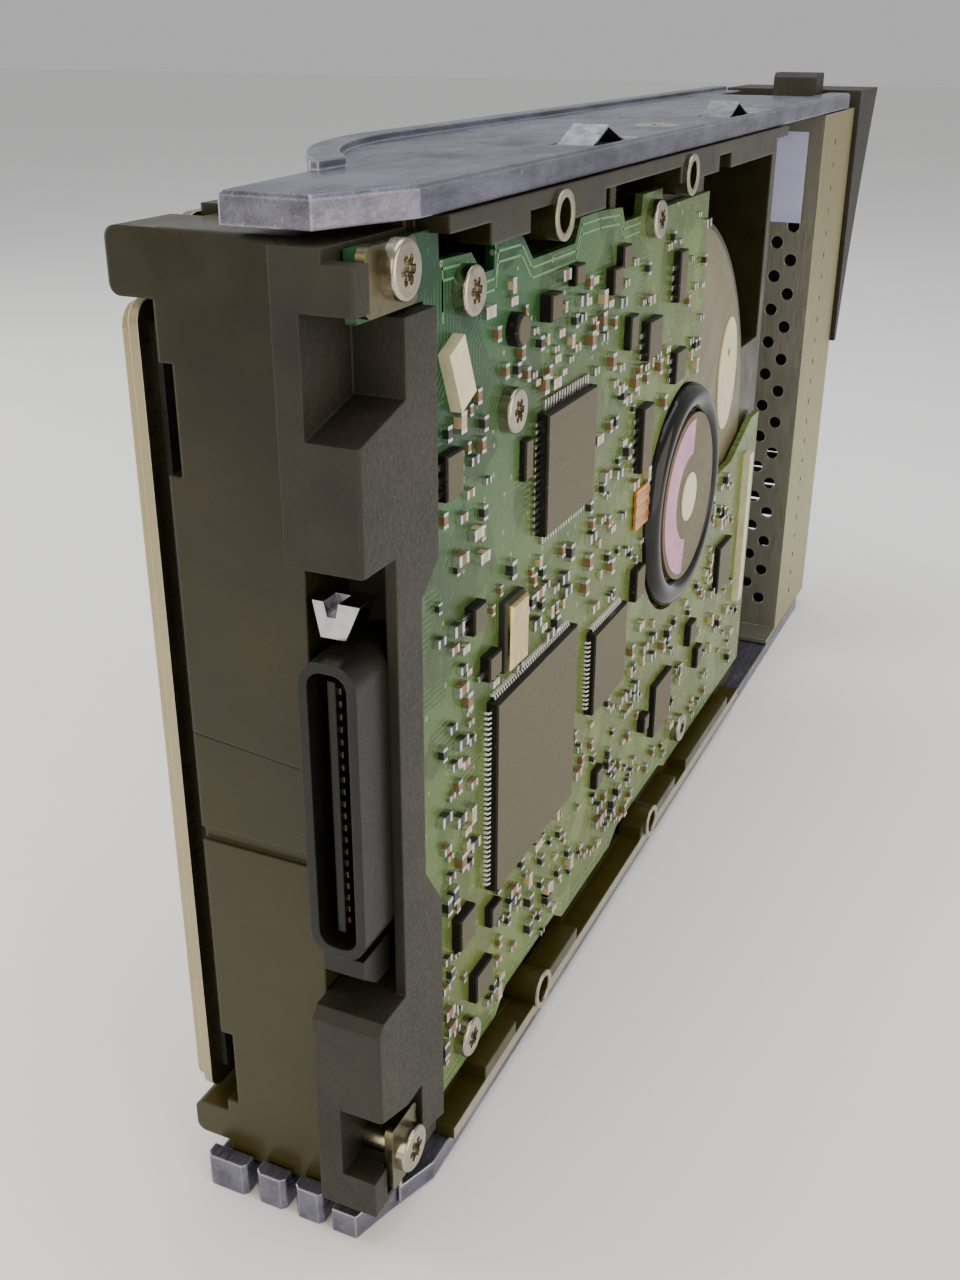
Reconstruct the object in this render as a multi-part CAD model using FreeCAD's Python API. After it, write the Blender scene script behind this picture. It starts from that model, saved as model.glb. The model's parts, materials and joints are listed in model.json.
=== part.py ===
"""A 3.5 inch hard disk drive in its hot-swap carrier, standing on the carrier's lower rail.

Every piece is drawn in the drive's own datum, in millimetres:
  x  from the mounting face on the circuit board side towards the cover
  y  from the first pair of bottom mounting holes towards the connector end
  z  from the middle of the drive's width, up
save() moves each piece to the part's frame, whose origin is under the middle of the whole part.
"""
import FreeCAD, Part
import math
import os

V = FreeCAD.Vector

# ---- driving dimensions ------------------------------------------------------------------
# drive envelope and its standard mounting holes
DRIVE_LENGTH = 147.0
DRIVE_HALF_WIDTH = 50.4
DRIVE_HEIGHT = 26.1
FIRST_HOLE_TO_END = 41.3
HOLE_PITCH_LONG = 44.45
HOLE_PITCH_WIDE = 95.25
HOLE_RADIUS = 1.75
HOLE_DEPTH = 4.4
SIDE_HOLE_X = 6.35
SIDE_HOLE_YS = (-47.5, -88.8)

# carrier
CARRIER_X = (1.2, 27.2)
RAIL_INNER = 50.6
RAIL_OUTER = 53.2
RAIL_FRONT_Y = -151.0
RAIL_REAR_Y = 40.0
PLATE_Y = -130.4
PLATE_THICKNESS = 0.8
FLANGE_FRONT_Y = -157.0
LEVER_PIVOT = (-145.0, 46.5)
LEVER_FRONT_TOP_Y = -176.0
LEVER_LOW_Z = 5.0

# casting
BOARD_FACE_X = 3.9
FLOOR_X = 6.6
CASTING_TOP_X = 24.2
END_TOP_X = 22.0
END_FACE_Y = 38.0
DRIVE_FRONT_Y = FIRST_HOLE_TO_END - DRIVE_LENGTH

# spindle and discs
SPINDLE = (-56.0, 1.5)
PLATTER_RADIUS = 35.0
PLATTER_THICKNESS = 1.0
PLATTER_GAP = 2.4
PLATTER_COUNT = 3
HUB_RADIUS = 12.45
HUB_SEAT_X = 10.0
CHAMBER_RADIUS = 36.8
PAN_RADIUS = 39.4
SHAFT_RADIUS = 2.0
RUNNING_GAP = 0.05

# actuator
PIVOT = (-15.0, 20.0)
ARM_LENGTH = 38.0
PARK_ANGLE = 179.6
ARM_SWEEP = 21.0
COIL_HALF_ANGLE = 19.0
PIVOT_RADIUS = 4.5

# circuit board
BOARD_X = (2.4, 3.4)

# connector end bracket
BRACKET_X = (0.9, 8.4)
BRACKET_Y = (27.4, 41.3)

# the part's frame: middle of the overall box, on the lower rail's underside
OVERALL_X = (0.0, 27.2)
OVERALL_Y = (LEVER_FRONT_TOP_Y, FIRST_HOLE_TO_END)
PLACE = V(-sum(OVERALL_X) / 2, -sum(OVERALL_Y) / 2, RAIL_OUTER)

OUT = "parts"


# ---- shape helpers -----------------------------------------------------------------------
def box(x, y, z):
    """Block between two x, two y and two z."""
    low = V(min(x), min(y), min(z))
    return Part.makeBox(abs(x[1] - x[0]), abs(y[1] - y[0]), abs(z[1] - z[0]), low)


def rod(axis, radius, start, end, a, b):
    """Round bar along x, y or z; a and b are its place on the other two axes in x, y, z order."""
    points = {"x": V(start, a, b), "y": V(a, start, b), "z": V(a, b, start)}
    way = {"x": V(1, 0, 0), "y": V(0, 1, 0), "z": V(0, 0, 1)}
    return Part.makeCylinder(radius, end - start, points[axis], way[axis])


def tube(axis, outer, inner, start, end, a, b):
    return rod(axis, outer, start, end, a, b).cut(rod(axis, inner, start - 1, end + 1, a, b))


def prism(points, way):
    """Closed outline of points pushed along a vector."""
    return Part.Face(Part.makePolygon(points + [points[0]])).extrude(way)


def plate_x(outline, x):
    """Outline of (y, z) points with thickness along x."""
    return prism([V(x[0], y, z) for y, z in outline], V(x[1] - x[0], 0, 0))


def plate_y(outline, y):
    """Outline of (x, z) points with thickness along y."""
    return prism([V(x, y[0], z) for x, z in outline], V(0, y[1] - y[0], 0))


def plate_z(outline, z):
    """Outline of (x, y) points with thickness along z."""
    return prism([V(x, y, z[0]) for x, y in outline], V(0, 0, z[1] - z[0]))


def fused(shapes):
    whole = shapes[0]
    for shape in shapes[1:]:
        whole = whole.fuse(shape)
    return whole.removeSplitter()


def trimmed(shape, tools):
    for tool in tools:
        shape = shape.cut(tool)
    return shape


def group(shapes):
    return Part.makeCompound(shapes)


def edges_along(shape, axis, test):
    """Straight edges parallel to an axis whose middle passes the test."""
    found = []
    for edge in shape.Edges:
        if not isinstance(edge.Curve, Part.Line):
            continue
        if abs(edge.Curve.Direction.dot(axis)) < 0.999:
            continue
        if test(edge.CenterOfMass):
            found.append(edge)
    return found


def rounded_block(x, y, z, radius, way):
    """Block with the four edges along one axis rounded."""
    solid = box(x, y, z)
    return solid.makeFillet(radius, edges_along(solid, way, lambda middle: True))


def turned(shape, degrees):
    """Shape turned about the pivot, counter-clockwise seen from +x."""
    copy = shape.copy()
    copy.rotate(V(0, PIVOT[0], PIVOT[1]), V(1, 0, 0), degrees)
    return copy


def mirrored(shape):
    """Shape on the other side of the drive's middle plane."""
    return shape.mirror(V(0, 0, 0), V(0, 0, 1))


def torx_recess(tip_radius, depth_start, depth_end, y, z):
    """Six-lobed socket along x."""
    lobes = [rod("x", 0.62 * tip_radius, depth_start, depth_end, y, z)]
    for step in range(6):
        angle = math.radians(60 * step)
        dy = 0.68 * tip_radius * math.cos(angle)
        dz = 0.68 * tip_radius * math.sin(angle)
        lobes.append(rod("x", 0.3 * tip_radius, depth_start, depth_end, y + dy, z + dz))
    return lobes


def pan_screw(head_x, seat_x, tip_x, y, z, head_radius, shank_radius):
    """Screw along x: a domed head from head_x to its seat, and a shank to tip_x."""
    way = 1 if seat_x > head_x else -1
    low, high = sorted((head_x, seat_x))
    head = rod("x", head_radius, low, high, y, z)
    rim = [e for e in head.Edges
           if abs(e.BoundBox.XMin - head_x) < 0.01 and abs(e.BoundBox.XMax - head_x) < 0.01]
    head = head.makeFillet(0.35, rim)
    low, high = sorted((seat_x - way * 0.1, tip_x))
    shank = rod("x", shank_radius, low, high, y, z)
    low, high = sorted((head_x - way * 0.5, head_x + way * 0.6))
    return trimmed(head.fuse(shank), torx_recess(0.55 * head_radius, low, high, y, z)).removeSplitter()


def coil_spring(coil_radius, wire_radius, turns, start, end, x, z):
    """Helical spring along y."""
    pitch = (end - start - 2 * wire_radius) / turns
    helix = Part.makeHelix(pitch, pitch * turns, coil_radius)
    wire = Part.Wire(Part.Circle(V(coil_radius, 0, 0), V(0, 1, 0), wire_radius).toShape())
    solid = helix.makePipeShell([wire], True, True)
    solid.rotate(V(0, 0, 0), V(1, 0, 0), -90)
    solid.translate(V(x, start + wire_radius, z))
    return solid


def save(node, shape):
    placed = shape.copy()
    placed.translate(PLACE)
    placed.exportStep(os.path.join(OUT, node + ".step"))


# ---- carrier -----------------------------------------------------------------------------
def rail_outline():
    """Plan of a rail: a narrow tongue at the connector end that widens in one sweep."""
    sweep_start = V(15.2, 22.5, 0)
    sweep_middle = V(23.5, 9.0, 0)
    sweep_end = V(CARRIER_X[1], -8.0, 0)
    corners = [V(CARRIER_X[0], RAIL_FRONT_Y, 0), V(CARRIER_X[0], 29.5, 0), V(5.1, RAIL_REAR_Y, 0),
               V(13.4, RAIL_REAR_Y, 0), sweep_start]
    edges = [Part.LineSegment(a, b).toShape() for a, b in zip(corners, corners[1:])]
    edges.append(Part.Arc(sweep_start, sweep_middle, sweep_end).toShape())
    far = V(CARRIER_X[1], RAIL_FRONT_Y, 0)
    edges.append(Part.LineSegment(sweep_end, far).toShape())
    edges.append(Part.LineSegment(far, corners[0]).toShape())
    return Part.Face(Part.Wire(edges))


def rail_blank():
    blank = rail_outline().extrude(V(0, 0, RAIL_OUTER - RAIL_INNER))
    blank.translate(V(0, 0, RAIL_INNER))
    top_edges = [e for e in blank.Edges if e.BoundBox.ZMin > RAIL_OUTER - 0.01]
    return blank.makeChamfer(0.35, top_edges)


def side_screw_seats():
    """Countersunk holes for the screws that hold a rail to the drive's side."""
    seats = []
    for y in SIDE_HOLE_YS:
        seats.append(rod("z", 1.9, RAIL_INNER - 1, RAIL_OUTER + 1, SIDE_HOLE_X, y))
        seats.append(Part.makeCone(1.9, 3.3, 1.4, V(SIDE_HOLE_X, y, RAIL_OUTER - 1.4)))
    return seats


def top_rail():
    rail = rail_blank()
    ridge = rail_outline().extrude(V(0, 0, 0.9))
    ridge.translate(V(0, 0, RAIL_OUTER - 0.1))
    inner = rail_outline().extrude(V(0, 0, 2))
    inner.translate(V(-2.2, -2.4, RAIL_OUTER - 0.5))
    band = ridge.cut(inner).common(box((14.2, 28), (-150, 23.5), (50, 55)))
    rail = rail.fuse(band)
    # the lever's hook and hub move in a slot that is open at the front
    lever_slot = box((5.0, 22.5), (RAIL_FRONT_Y - 1, -133.0), (50, 55))
    # shallow thumb marks cast into the outer face
    dimples = [Part.makeSphere(22, V(x, y, RAIL_OUTER + 21.7))
               for x, y in ((9.6, 6.0), (11.0, -10.5), (17.0, -58.0))]
    spring_seats = [box((1.8, 7.0), (y - 13.5, y + 1.5), (RAIL_OUTER - 0.3, 55)) for y in GROUND_SPRING_YS]
    return trimmed(rail, [lever_slot] + dimples + spring_seats + side_screw_seats())


def bottom_rail():
    rail = rail_blank().cut(box((3.0, 30), (34.0, 45), (50, 55)))
    rail = rail.cut(box((14.0, 30), (-8.0, 34.5), (50, 55)))
    deck = box((3.0, 24.2), (-9.0, 34.0), (RAIL_INNER, RAIL_OUTER))
    # comb of four blunt fingers that stand proud of the deck
    fingers = []
    for x in ((9.3, 12.7), (14.0, 17.6), (18.9, 23.9)):
        toe = box(x, (38.4, 40.2), (49.1, RAIL_OUTER))
        finger = box(x, (30.0, 40.2), (RAIL_INNER, RAIL_OUTER)).fuse(toe)
        finger = finger.removeSplitter()
        fingers.append(finger.makeChamfer(0.5, edges_along(finger, V(0, 0, 1), lambda m: m.y > 40)))
    corner = plate_z([(3.0, 33.5), (5.1, 40.2), (8.0, 40.2), (8.0, 33.5)], (RAIL_INNER - 0.4, RAIL_OUTER))
    rail = fused([rail, deck, corner] + fingers)
    return mirrored(trimmed(rail, side_screw_seats()))


GROUND_SPRING_YS = (-13.0, -68.0)


def ground_springs():
    """Bent strips that touch the bay's metal: a flat foot and a tent-shaped peak."""
    springs = []
    for y in GROUND_SPRING_YS:
        foot = RAIL_OUTER - 0.3
        outline = [(y + 1.2, foot), (y + 1.2, foot + 0.25), (y - 0.2, foot + 0.25), (y - 4.8, foot + 2.1),
                   (y - 5.2, foot + 2.1), (y - 10.5, foot + 0.25), (y - 13.0, foot + 0.25), (y - 13.0, foot),
                   (y - 10.4, foot), (y - 5.15, foot + 1.8), (y - 4.85, foot + 1.8), (y - 0.3, foot)]
        springs.append(plate_x(outline, (2.3, 6.4)))
    return group(springs)


def side_screws():
    screws = []
    for y in SIDE_HOLE_YS:
        cone = Part.makeCone(1.7, 3.1, 1.4, V(SIDE_HOLE_X, y, RAIL_OUTER - 1.4))
        shank = rod("z", 1.7, RAIL_INNER - 3.6, RAIL_OUTER - 1.35, SIDE_HOLE_X, y)
        screw = cone.fuse(shank)
        for turn in range(2):
            slot = box((-1.4, 1.4), (-0.3, 0.3), (RAIL_OUTER - 0.7, RAIL_OUTER + 1))
            slot.rotate(V(0, 0, 0), V(0, 0, 1), 90 * turn + 45)
            slot.translate(V(SIDE_HOLE_X, y, 0))
            screw = screw.cut(slot)
        screws.append(screw.removeSplitter())
        screws.append(mirrored(screws[-1]))
    return group(screws)


def shield_cage():
    """Bent sheet: a perforated wall across the carrier with a flange along each side."""
    x0, x1 = CARRIER_X
    height = RAIL_INNER - 0.3
    wall_y = (PLATE_Y - PLATE_THICKNESS, PLATE_Y)
    wall = box((x0, x1), wall_y, (-height, height))
    flanges = [box((x0, x0 + PLATE_THICKNESS), (FLANGE_FRONT_Y, PLATE_Y), (-height, height)),
               box((x1 - PLATE_THICKNESS, x1), (FLANGE_FRONT_Y, PLATE_Y), (-height, height))]
    foot = box((x0, x1), (PLATE_Y - PLATE_THICKNESS, PLATE_Y + 7), (-height, -height + PLATE_THICKNESS))
    cage = fused([wall, foot] + flanges)
    pitch = 6.2
    holes = []
    for row in range(-7, 8):
        for column in range(7):
            z = row * pitch + (pitch / 2 if column % 2 else 0)
            x = 5.2 + column * 2.8
            if abs(z) < height - 4:
                holes.append(rod("y", 1.15, wall_y[0] - 1, wall_y[1] + 1, x, z))
    for step in range(-11, 12):
        holes.append(rod("x", 0.6, x0 - 1, x0 + 1.5, -141.5, step * 4.1))
        holes.append(rod("x", 0.6, x1 - 1.5, x1 + 1, -141.5, step * 4.1))
    return cage.cut(group(holes))


def front_bezel():
    """Hollow black front with vents, the lever's two ears, and openings for latch and button."""
    x = (2.4, 26.0)
    y = (-156.5, -146.0)
    wall = 1.6
    shell = box(x, y, (-50.2, 37.0))
    hollow = box((x[0] + wall, x[1] - wall), (y[0] + wall, y[1] - wall), (-50.2 + wall, 37.0 - wall))
    ears = []
    for ear_x in ((x[0], 4.9), (23.0, x[1])):
        ear = box(ear_x, (-150.5, -139.5), (36.0, 50.2))
        ears.append(ear.makeChamfer(2.0, edges_along(ear, V(1, 0, 0), lambda m: m.z > 50)))
    bezel = fused([shell] + ears).cut(hollow)
    cuts = [rod("x", 1.0, 0, 30, *LEVER_PIVOT)]
    for row in range(9):
        z = -46.0 + 3.6 * row
        cuts.append(box((5.6, 22.8), (y[0] - 1, y[0] + wall + 0.5), (z, z + 1.6)))
        cuts.append(box((5.6, 22.8), (y[1] - wall - 0.5, y[1] + 1), (z, z + 1.6)))
    cuts.append(box((9.4, 18.6), (y[0] - 1, y[0] + wall + 0.5), (4.2, 14.0)))
    cuts.append(box((11.6, 16.6), (y[0] - 1, y[0] + wall + 0.5), (-6.2, -0.8)))
    cuts.append(rod("y", 1.2, y[0] - 1, y[0] + wall + 0.5, 6.4, -10.0))
    cuts.append(rod("y", 1.2, y[0] - 1, y[0] + wall + 0.5, 22.0, -10.0))
    return trimmed(bezel, cuts)


def status_lenses():
    """Two clear windows for the activity and fault lamps."""
    return group([rod("y", 1.2, -156.9, -154.9, x, -10.0) for x in (6.4, 22.0)])


def handle_lever():
    """Ejector lever: a flaring grip, a tongue back to the hub, a hook above it and a catch below."""
    pivot_y, pivot_z = LEVER_PIVOT
    back_y = pivot_y - 13.0
    low_front = V(0, back_y - 1.6, LEVER_LOW_Z)
    mid_front = V(0, back_y - 6.5, 24.0)
    top_front = V(0, LEVER_FRONT_TOP_Y, 53.4)
    outline = [Part.Arc(low_front, mid_front, top_front).toShape(),
               Part.LineSegment(top_front, V(0, back_y, 53.4)).toShape(),
               Part.LineSegment(V(0, back_y, 53.4), V(0, back_y, LEVER_LOW_Z)).toShape(),
               Part.LineSegment(V(0, back_y, LEVER_LOW_Z), low_front).toShape()]
    grip = Part.Face(Part.Wire(outline)).extrude(V(27.0 - 0.4, 0, 0))
    grip.translate(V(0.4, 0, 0))
    scoop = rod("x", 9.0, 4.0, 23.4, back_y - 1.5, 30.5)
    scoop = scoop.common(box((4.0, 23.4), (back_y - 8, back_y + 1), (16, 50)))
    grip = grip.cut(scoop.common(box((0, 30), (back_y - 4.0, back_y + 1), (16, 50))))
    hub = rod("x", 4.0, 6.0, 21.5, pivot_y, pivot_z)
    tongue = box((6.0, 21.5), (back_y - 1, pivot_y), (pivot_z - 4.0, pivot_z + 2.5))
    hook = plate_x([(pivot_y - 3.6, pivot_z), (pivot_y + 3.4, pivot_z), (pivot_y + 2.6, 56.0),
                    (pivot_y + 1.8, 56.8), (pivot_y - 3.0, 56.8), (pivot_y - 3.6, 56.2)], (6.0, 14.0))
    catch = box((10.4, 17.6), (back_y - 0.5, back_y + 4.5), (LEVER_LOW_Z + 0.6, LEVER_LOW_Z + 3.6))
    lever = fused([grip, hub, tongue, hook, catch])
    return lever.cut(rod("x", 1.0 + RUNNING_GAP, 0, 30, pivot_y, pivot_z))


def lever_pin():
    return rod("x", 1.0, 2.4, 26.0, *LEVER_PIVOT)


def release_button():
    cap = rounded_block((8.0, 20.2), (-160.6, -158.2), (-9.0, 2.0), 0.8, V(0, 1, 0))
    stem = box((12.2, 16.0), (-158.4, -151.6), (-5.6, -1.4))
    return fused([cap, stem])


def button_spring():
    return coil_spring(1.5, 0.2, 4, -151.5, -147.7, 14.1, -3.5)


# ---- connector end -----------------------------------------------------------------------
def rear_bracket():
    """Black moulding round the connector, with two open pockets at its ends."""
    x0, x1 = BRACKET_X
    y0, y1 = BRACKET_Y
    upper = box((x0, x1), (y0, y1), (23.4, 49.6))
    lower = box((x0, x1), (y0, y1), (-47.6, -23.0))
    wall = plate_z([(x0, y0), (x0, 35.6), (2.0, 35.6), (2.0, 31.0), (x1, 31.0), (x1, y0)], (-23.2, 23.6))
    body = fused([upper, lower, wall])
    cuts = [
        # upper pocket, open to the end and to the side, with a sloping floor
        plate_x([(33.2, 44.6), (42, 44.6), (42, 34.2), (33.2, 36.6)], (x0 - 1, 5.9)),
        # corner where the board's tab and its earth lug lie
        box((x0 - 1, 3.7), (y0 - 1, 38.9), (43.3, 51)),
        box((x0 - 1, 3.7), (38.0, 42), (48.4, 51)),
        # sloping shoulder of the lower block
        plate_x([(42, -20), (42, -24.8), (37.4, -20)], (x0 - 1, x1 + 1)),
        # lower pocket with the second lug
        box((x0 - 1, 5.7), (32.5, 42), (-43.2, -36.8)),
        plate_x([(42, -34.4), (42, -37.5), (34.0, -37.5)], (x0 - 1, 5.7)),
        plate_x([(y0 - 1, -45.4), (y0 - 1, -48), (42, -48), (42, -43.0), (33.6, -43.0)], (x0 - 1, 1.9)),
        box((x0 - 1, 2.5), (32.6, 38.8), (-46.9, -38.2)),
        # the board reaches further back beside the connector
        plate_x([(y0 - 1, 20.8), (y0, 20.8), (30.9, 17.8), (30.9, -11.4), (y0, -16.6), (y0 - 1, -16.6)],
                (x0 - 1, 3.7)),
        # recess behind the connector's shroud
        box((2.0, x1 + 1), (35.4, 42), (-22.0, 23.4)),
    ]
    cuts += [rod("x", 1.5, x0 - 1, x1 + 1, y, z) for _, _, y, z in LUGS]
    body = trimmed(body, cuts).removeSplitter()
    outer = edges_along(body, V(0, 0, 1), lambda m: m.y > y1 - 0.1 and m.x < x0 + 0.1)
    return body.makeChamfer(0.3, outer)


def connector_shroud():
    """Plug housing with a rounded rim, a deep well and a centre tongue."""
    outer = rounded_block((2.0, 7.9), (31.0, 41.3), (-15.6, 15.1), 2.4, V(0, 1, 0))
    well = rounded_block((2.95, 6.95), (33.6, 42), (-14.6, 14.1), 1.5, V(0, 1, 0))
    tongue = box((4.7, 5.5), (33.0, 40.2), (-13.4, 12.9))
    return fused([outer.cut(well), tongue])


def contact_zs():
    count = 20
    pitch = 1.27
    return [pitch * (i - (count - 1) / 2) - 0.25 for i in range(count)]


def connector_contacts():
    """Two rows of contact blades on the tongue."""
    blades = []
    for z in contact_zs():
        blades.append(box((4.5, 4.7), (33.6, 39.6), (z - 0.3, z + 0.3)))
        blades.append(box((5.5, 5.7), (33.6, 39.6), (z - 0.3, z + 0.3)))
    return group(blades)


def guide_tab():
    """Bright folded earth tab above the connector."""
    plate = plate_y([(7.6, 19.6), (2.9, 19.6), (4.4, 16.2), (6.9, 16.2)], (35.4, 38.6))
    hollow = plate_y([(6.6, 20), (4.9, 20), (5.3, 18.2), (6.2, 18.2)], (36.4, 39))
    return plate.cut(hollow)


def key_block():
    """Bevelled black block below the connector."""
    return plate_x([(31.0, -16.2), (40.4, -16.2), (40.4, -18.2), (38.0, -20.2), (31.0, -20.2)], (2.8, 7.2))


LUGS = (((29.9, 38.6), (43.9, 49.4), 33.8, 47.2), ((33.0, 38.4), (-46.6, -38.6), 35.6, -42.6))


def earth_lugs():
    """Square plated lugs under the two corner screws."""
    lugs = []
    for y, z, screw_y, screw_z in LUGS:
        lug = rounded_block((1.4, 2.3), y, z, 0.8, V(1, 0, 0))
        lugs.append(lug.cut(rod("x", 1.5, 0, 4, screw_y, screw_z)))
    return group(lugs)


def lug_screws():
    return group([pan_screw(0.1, 1.4, 7.0, y, z, 2.5, 1.4) for _, _, y, z in LUGS])


# ---- drive shell -------------------------------------------------------------------------
def boss_centres():
    half = HOLE_PITCH_WIDE / 2
    return [(y, side * half) for y in (0.0, -HOLE_PITCH_LONG) for side in (1, -1)]


def chamber():
    """Room for the discs and the actuator."""
    discs = rod("x", CHAMBER_RADIUS, FLOOR_X, CASTING_TOP_X + 1, *SPINDLE)
    arm_room = box((FLOOR_X, CASTING_TOP_X + 1), (-52.0, 28.0), (-14.0, 41.5))
    return discs.fuse(arm_room)


def casting_shell():
    """The main block and its end wall, hollowed for the mechanism and outside the disc pan."""
    half = DRIVE_HALF_WIDTH
    body = box((BOARD_FACE_X, CASTING_TOP_X), (DRIVE_FRONT_Y, 27.2), (-half, half))
    end = box((8.6, END_TOP_X), (27.0, END_FACE_Y), (-half, 49.7))
    end = end.makeFillet(0.8, edges_along(end, V(1, 0, 0), lambda m: m.y > END_FACE_Y - 0.1))
    hollows = [chamber(), rod("x", 15.2, 0, FLOOR_X + 1, *SPINDLE)]
    # trenches beside the board, along both rims
    for side in (1, -1):
        low, high = sorted((side * 43.4, side * 48.8))
        hollows += [box((BOARD_FACE_X - 1, 9.5), y, (low, high))
                    for y in ((-43.0, -26.0), (-24.0, 7.2), (8.2, 25.0))]
    # the front corner is hollow outside the disc pan
    corner = box((BOARD_FACE_X - 1, 19.0), (-103.0, -63.0), (16.0, 46.6))
    hollows.append(corner.cut(rod("x", PAN_RADIUS, 0, 30, *SPINDLE)))
    return trimmed(body.fuse(end), hollows)


def casting_additions():
    """Corner posts, long rims, mounting bosses and board posts."""
    half = DRIVE_HALF_WIDTH
    added = []
    # lip that closes the chamber above the lower end wall
    added.append(box((END_TOP_X - 1, CASTING_TOP_X), (27.0, 29.6), (-46.0, 46.0)))
    for z in ((43.9, 49.7), (-48.2, -44.0)):
        post = box((END_TOP_X - 1, DRIVE_HEIGHT + 0.3), (30.0, END_FACE_Y), z)
        added.append(post.makeFillet(1.1, edges_along(post, V(0, 1, 0), lambda m: m.x > 26)))
    for side in (1, -1):
        low, high = sorted((side * 48.9, side * half))
        added.append(box((0.5, BOARD_FACE_X + 0.2), (-98.0, 25.5), (low, high)))
        low, high = sorted((side * 46.9, side * half))
        for y in ((8.0, 17.0), (-13.0, -3.2), (-58.0, -40.5), (-90.0, -64.0)):
            added.append(box((0.5, BOARD_FACE_X + 0.2), y, (low, high)))
    for y, z in boss_centres():
        boss = rod("x", 2.5, 0.0, 11.0, y, z)
        added.append(boss.common(box((-1, 12), (-60, 10), (-half, half))))
    added += [rod("x", 3.0, BOARD_X[1], BOARD_FACE_X + 3.0, y, z) for y, z in BOARD_SCREWS]
    return added


def casting_marks():
    """Scallops, groove and parting line of the connector end."""
    return [box((20.6, 24.4), (30.0, 39), (28.6, 38.6)),
            box((20.6, 24.4), (30.0, 39), (-42.4, -33.0)),
            box((8.0, 24.4), (END_FACE_Y - 0.5, 39), (-8.9, -7.4)),
            plate_y([(24.4, 3.4), (8.0, 1.6), (8.0, 1.45), (24.4, 3.25)], (END_FACE_Y - 0.15, 39))]


def base_casting():
    """One-piece aluminium base: floor on the board side, walls all round, open to the cover."""
    holes = [rod("x", HOLE_RADIUS, -1, HOLE_DEPTH, y, z) for y, z in boss_centres()]
    for y in SIDE_HOLE_YS:
        holes.append(rod("z", HOLE_RADIUS, -60, -46.5, SIDE_HOLE_X, y))
        holes.append(rod("z", HOLE_RADIUS, 46.5, 60, SIDE_HOLE_X, y))
    holes += [rod("x", 1.05, 2, 6.0, y, z) for y, z in BOARD_SCREWS]
    holes += [rod("x", 1.5, 0, 11, y, z) for _, _, y, z in LUGS]
    holes += [rod("x", 1.0, 19.5, 25, y, z) for y, z in cover_screw_places()]
    body = fused([casting_shell()] + casting_additions())
    return trimmed(body, casting_marks() + holes).removeSplitter()


def cover_outline(margin):
    """Plan of the cover: square at the front, notched round the corner posts at the end."""
    low = DRIVE_FRONT_Y + margin
    half = 49.6 - margin
    return [(low, -half), (29.0, -half), (29.0, -43.4 + margin), (36.8 - margin, -43.4 + margin),
            (36.8 - margin, 43.3 - margin), (29.0, 43.3 - margin), (29.0, half), (low, half)]


def cover_screw_places():
    return [(-101.5, 45.0), (-101.5, -45.0), (-32.0, 46.3), (-32.0, -44.5), (24.0, 45.6), (24.0, -45.6)]


def cover_plate(x, margin, radius, hole):
    plate = plate_x(cover_outline(margin), x)
    plate = plate.makeFillet(radius, edges_along(plate, V(1, 0, 0), lambda m: True))
    return trimmed(plate, [rod("x", hole, 20, 30, y, z) for y, z in cover_screw_places()])


def cover_gasket():
    outer = plate_x(cover_outline(2.2), (CASTING_TOP_X, 24.8))
    ring = outer.cut(rod("x", CHAMBER_RADIUS + 1.2, 20, 30, *SPINDLE))
    ring = ring.cut(box((20, 30), (-52.0, 29.0), (-15.2, 42.6)))
    holes = [rod("x", 1.6, 20, 30, y, z) for y, z in cover_screw_places()]
    return trimmed(ring, holes)


def cover_screws():
    screws = [pan_screw(26.6, 25.8, 20.5, y, z, 2.3, 1.0) for y, z in cover_screw_places()]
    return group(screws)


def breather_filter():
    """Round filter behind the cover's vent, in the corner of the chamber."""
    return tube("x", 5.0, 1.0, 20.8, 23.8, 20.0, -6.0)


def recirculation_filter():
    """Upright pleated pad beside the discs."""
    pleats = [(-18.0 + 1.2 * i, -13.0 + (1.4 if i % 2 else 0.0)) for i in range(8)]
    backs = [(y, z + 1.6) for y, z in reversed(pleats)]
    return plate_x(pleats + backs, (7.2, 22.0))


# ---- spindle -----------------------------------------------------------------------------
def stack_xs():
    """Lower faces of the discs."""
    step = PLATTER_THICKNESS + PLATTER_GAP
    return [HUB_SEAT_X + i * step for i in range(PLATTER_COUNT)]


STACK_TOP = HUB_SEAT_X + PLATTER_COUNT * PLATTER_THICKNESS + (PLATTER_COUNT - 1) * PLATTER_GAP


def motor_base():
    """Round plug that closes the casting's floor and carries the fixed shaft."""
    plug = rod("x", 15.2, 2.6, FLOOR_X, *SPINDLE)
    step = rod("x", 11.5, FLOOR_X - 0.1, 7.0, *SPINDLE)
    return fused([plug, step])


def motor_ring():
    """Glossy bead round the motor on the board side."""
    bead = Part.makeTorus(14.6, 2.0, V(2.7, *SPINDLE), V(1, 0, 0))
    return bead.common(rod("x", 20, 0.4, 3.9, *SPINDLE)).cut(rod("x", 15.2, 2.6, 8, *SPINDLE))


def motor_cap():
    """Flat cover plate inside the bead."""
    return rod("x", 12.4, 1.0, 2.6, *SPINDLE)


def spindle_shaft():
    return rod("x", SHAFT_RADIUS, 7.0, 24.4, *SPINDLE)


def motor_stator():
    """Nine wound teeth round a fixed sleeve."""
    y, z = SPINDLE
    shapes = [tube("x", 5.0, 3.4, 7.0, 13.2, y, z)]
    for tooth in range(9):
        arm = box((8.0, 12.2), (4.6, 9.6), (-0.8, 0.8)).fuse(box((8.0, 12.2), (9.0, 10.6), (-2.2, 2.2)))
        arm.rotate(V(0, 0, 0), V(1, 0, 0), 40 * tooth)
        arm.translate(V(0, y, z))
        shapes.append(arm)
    return fused(shapes)


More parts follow.
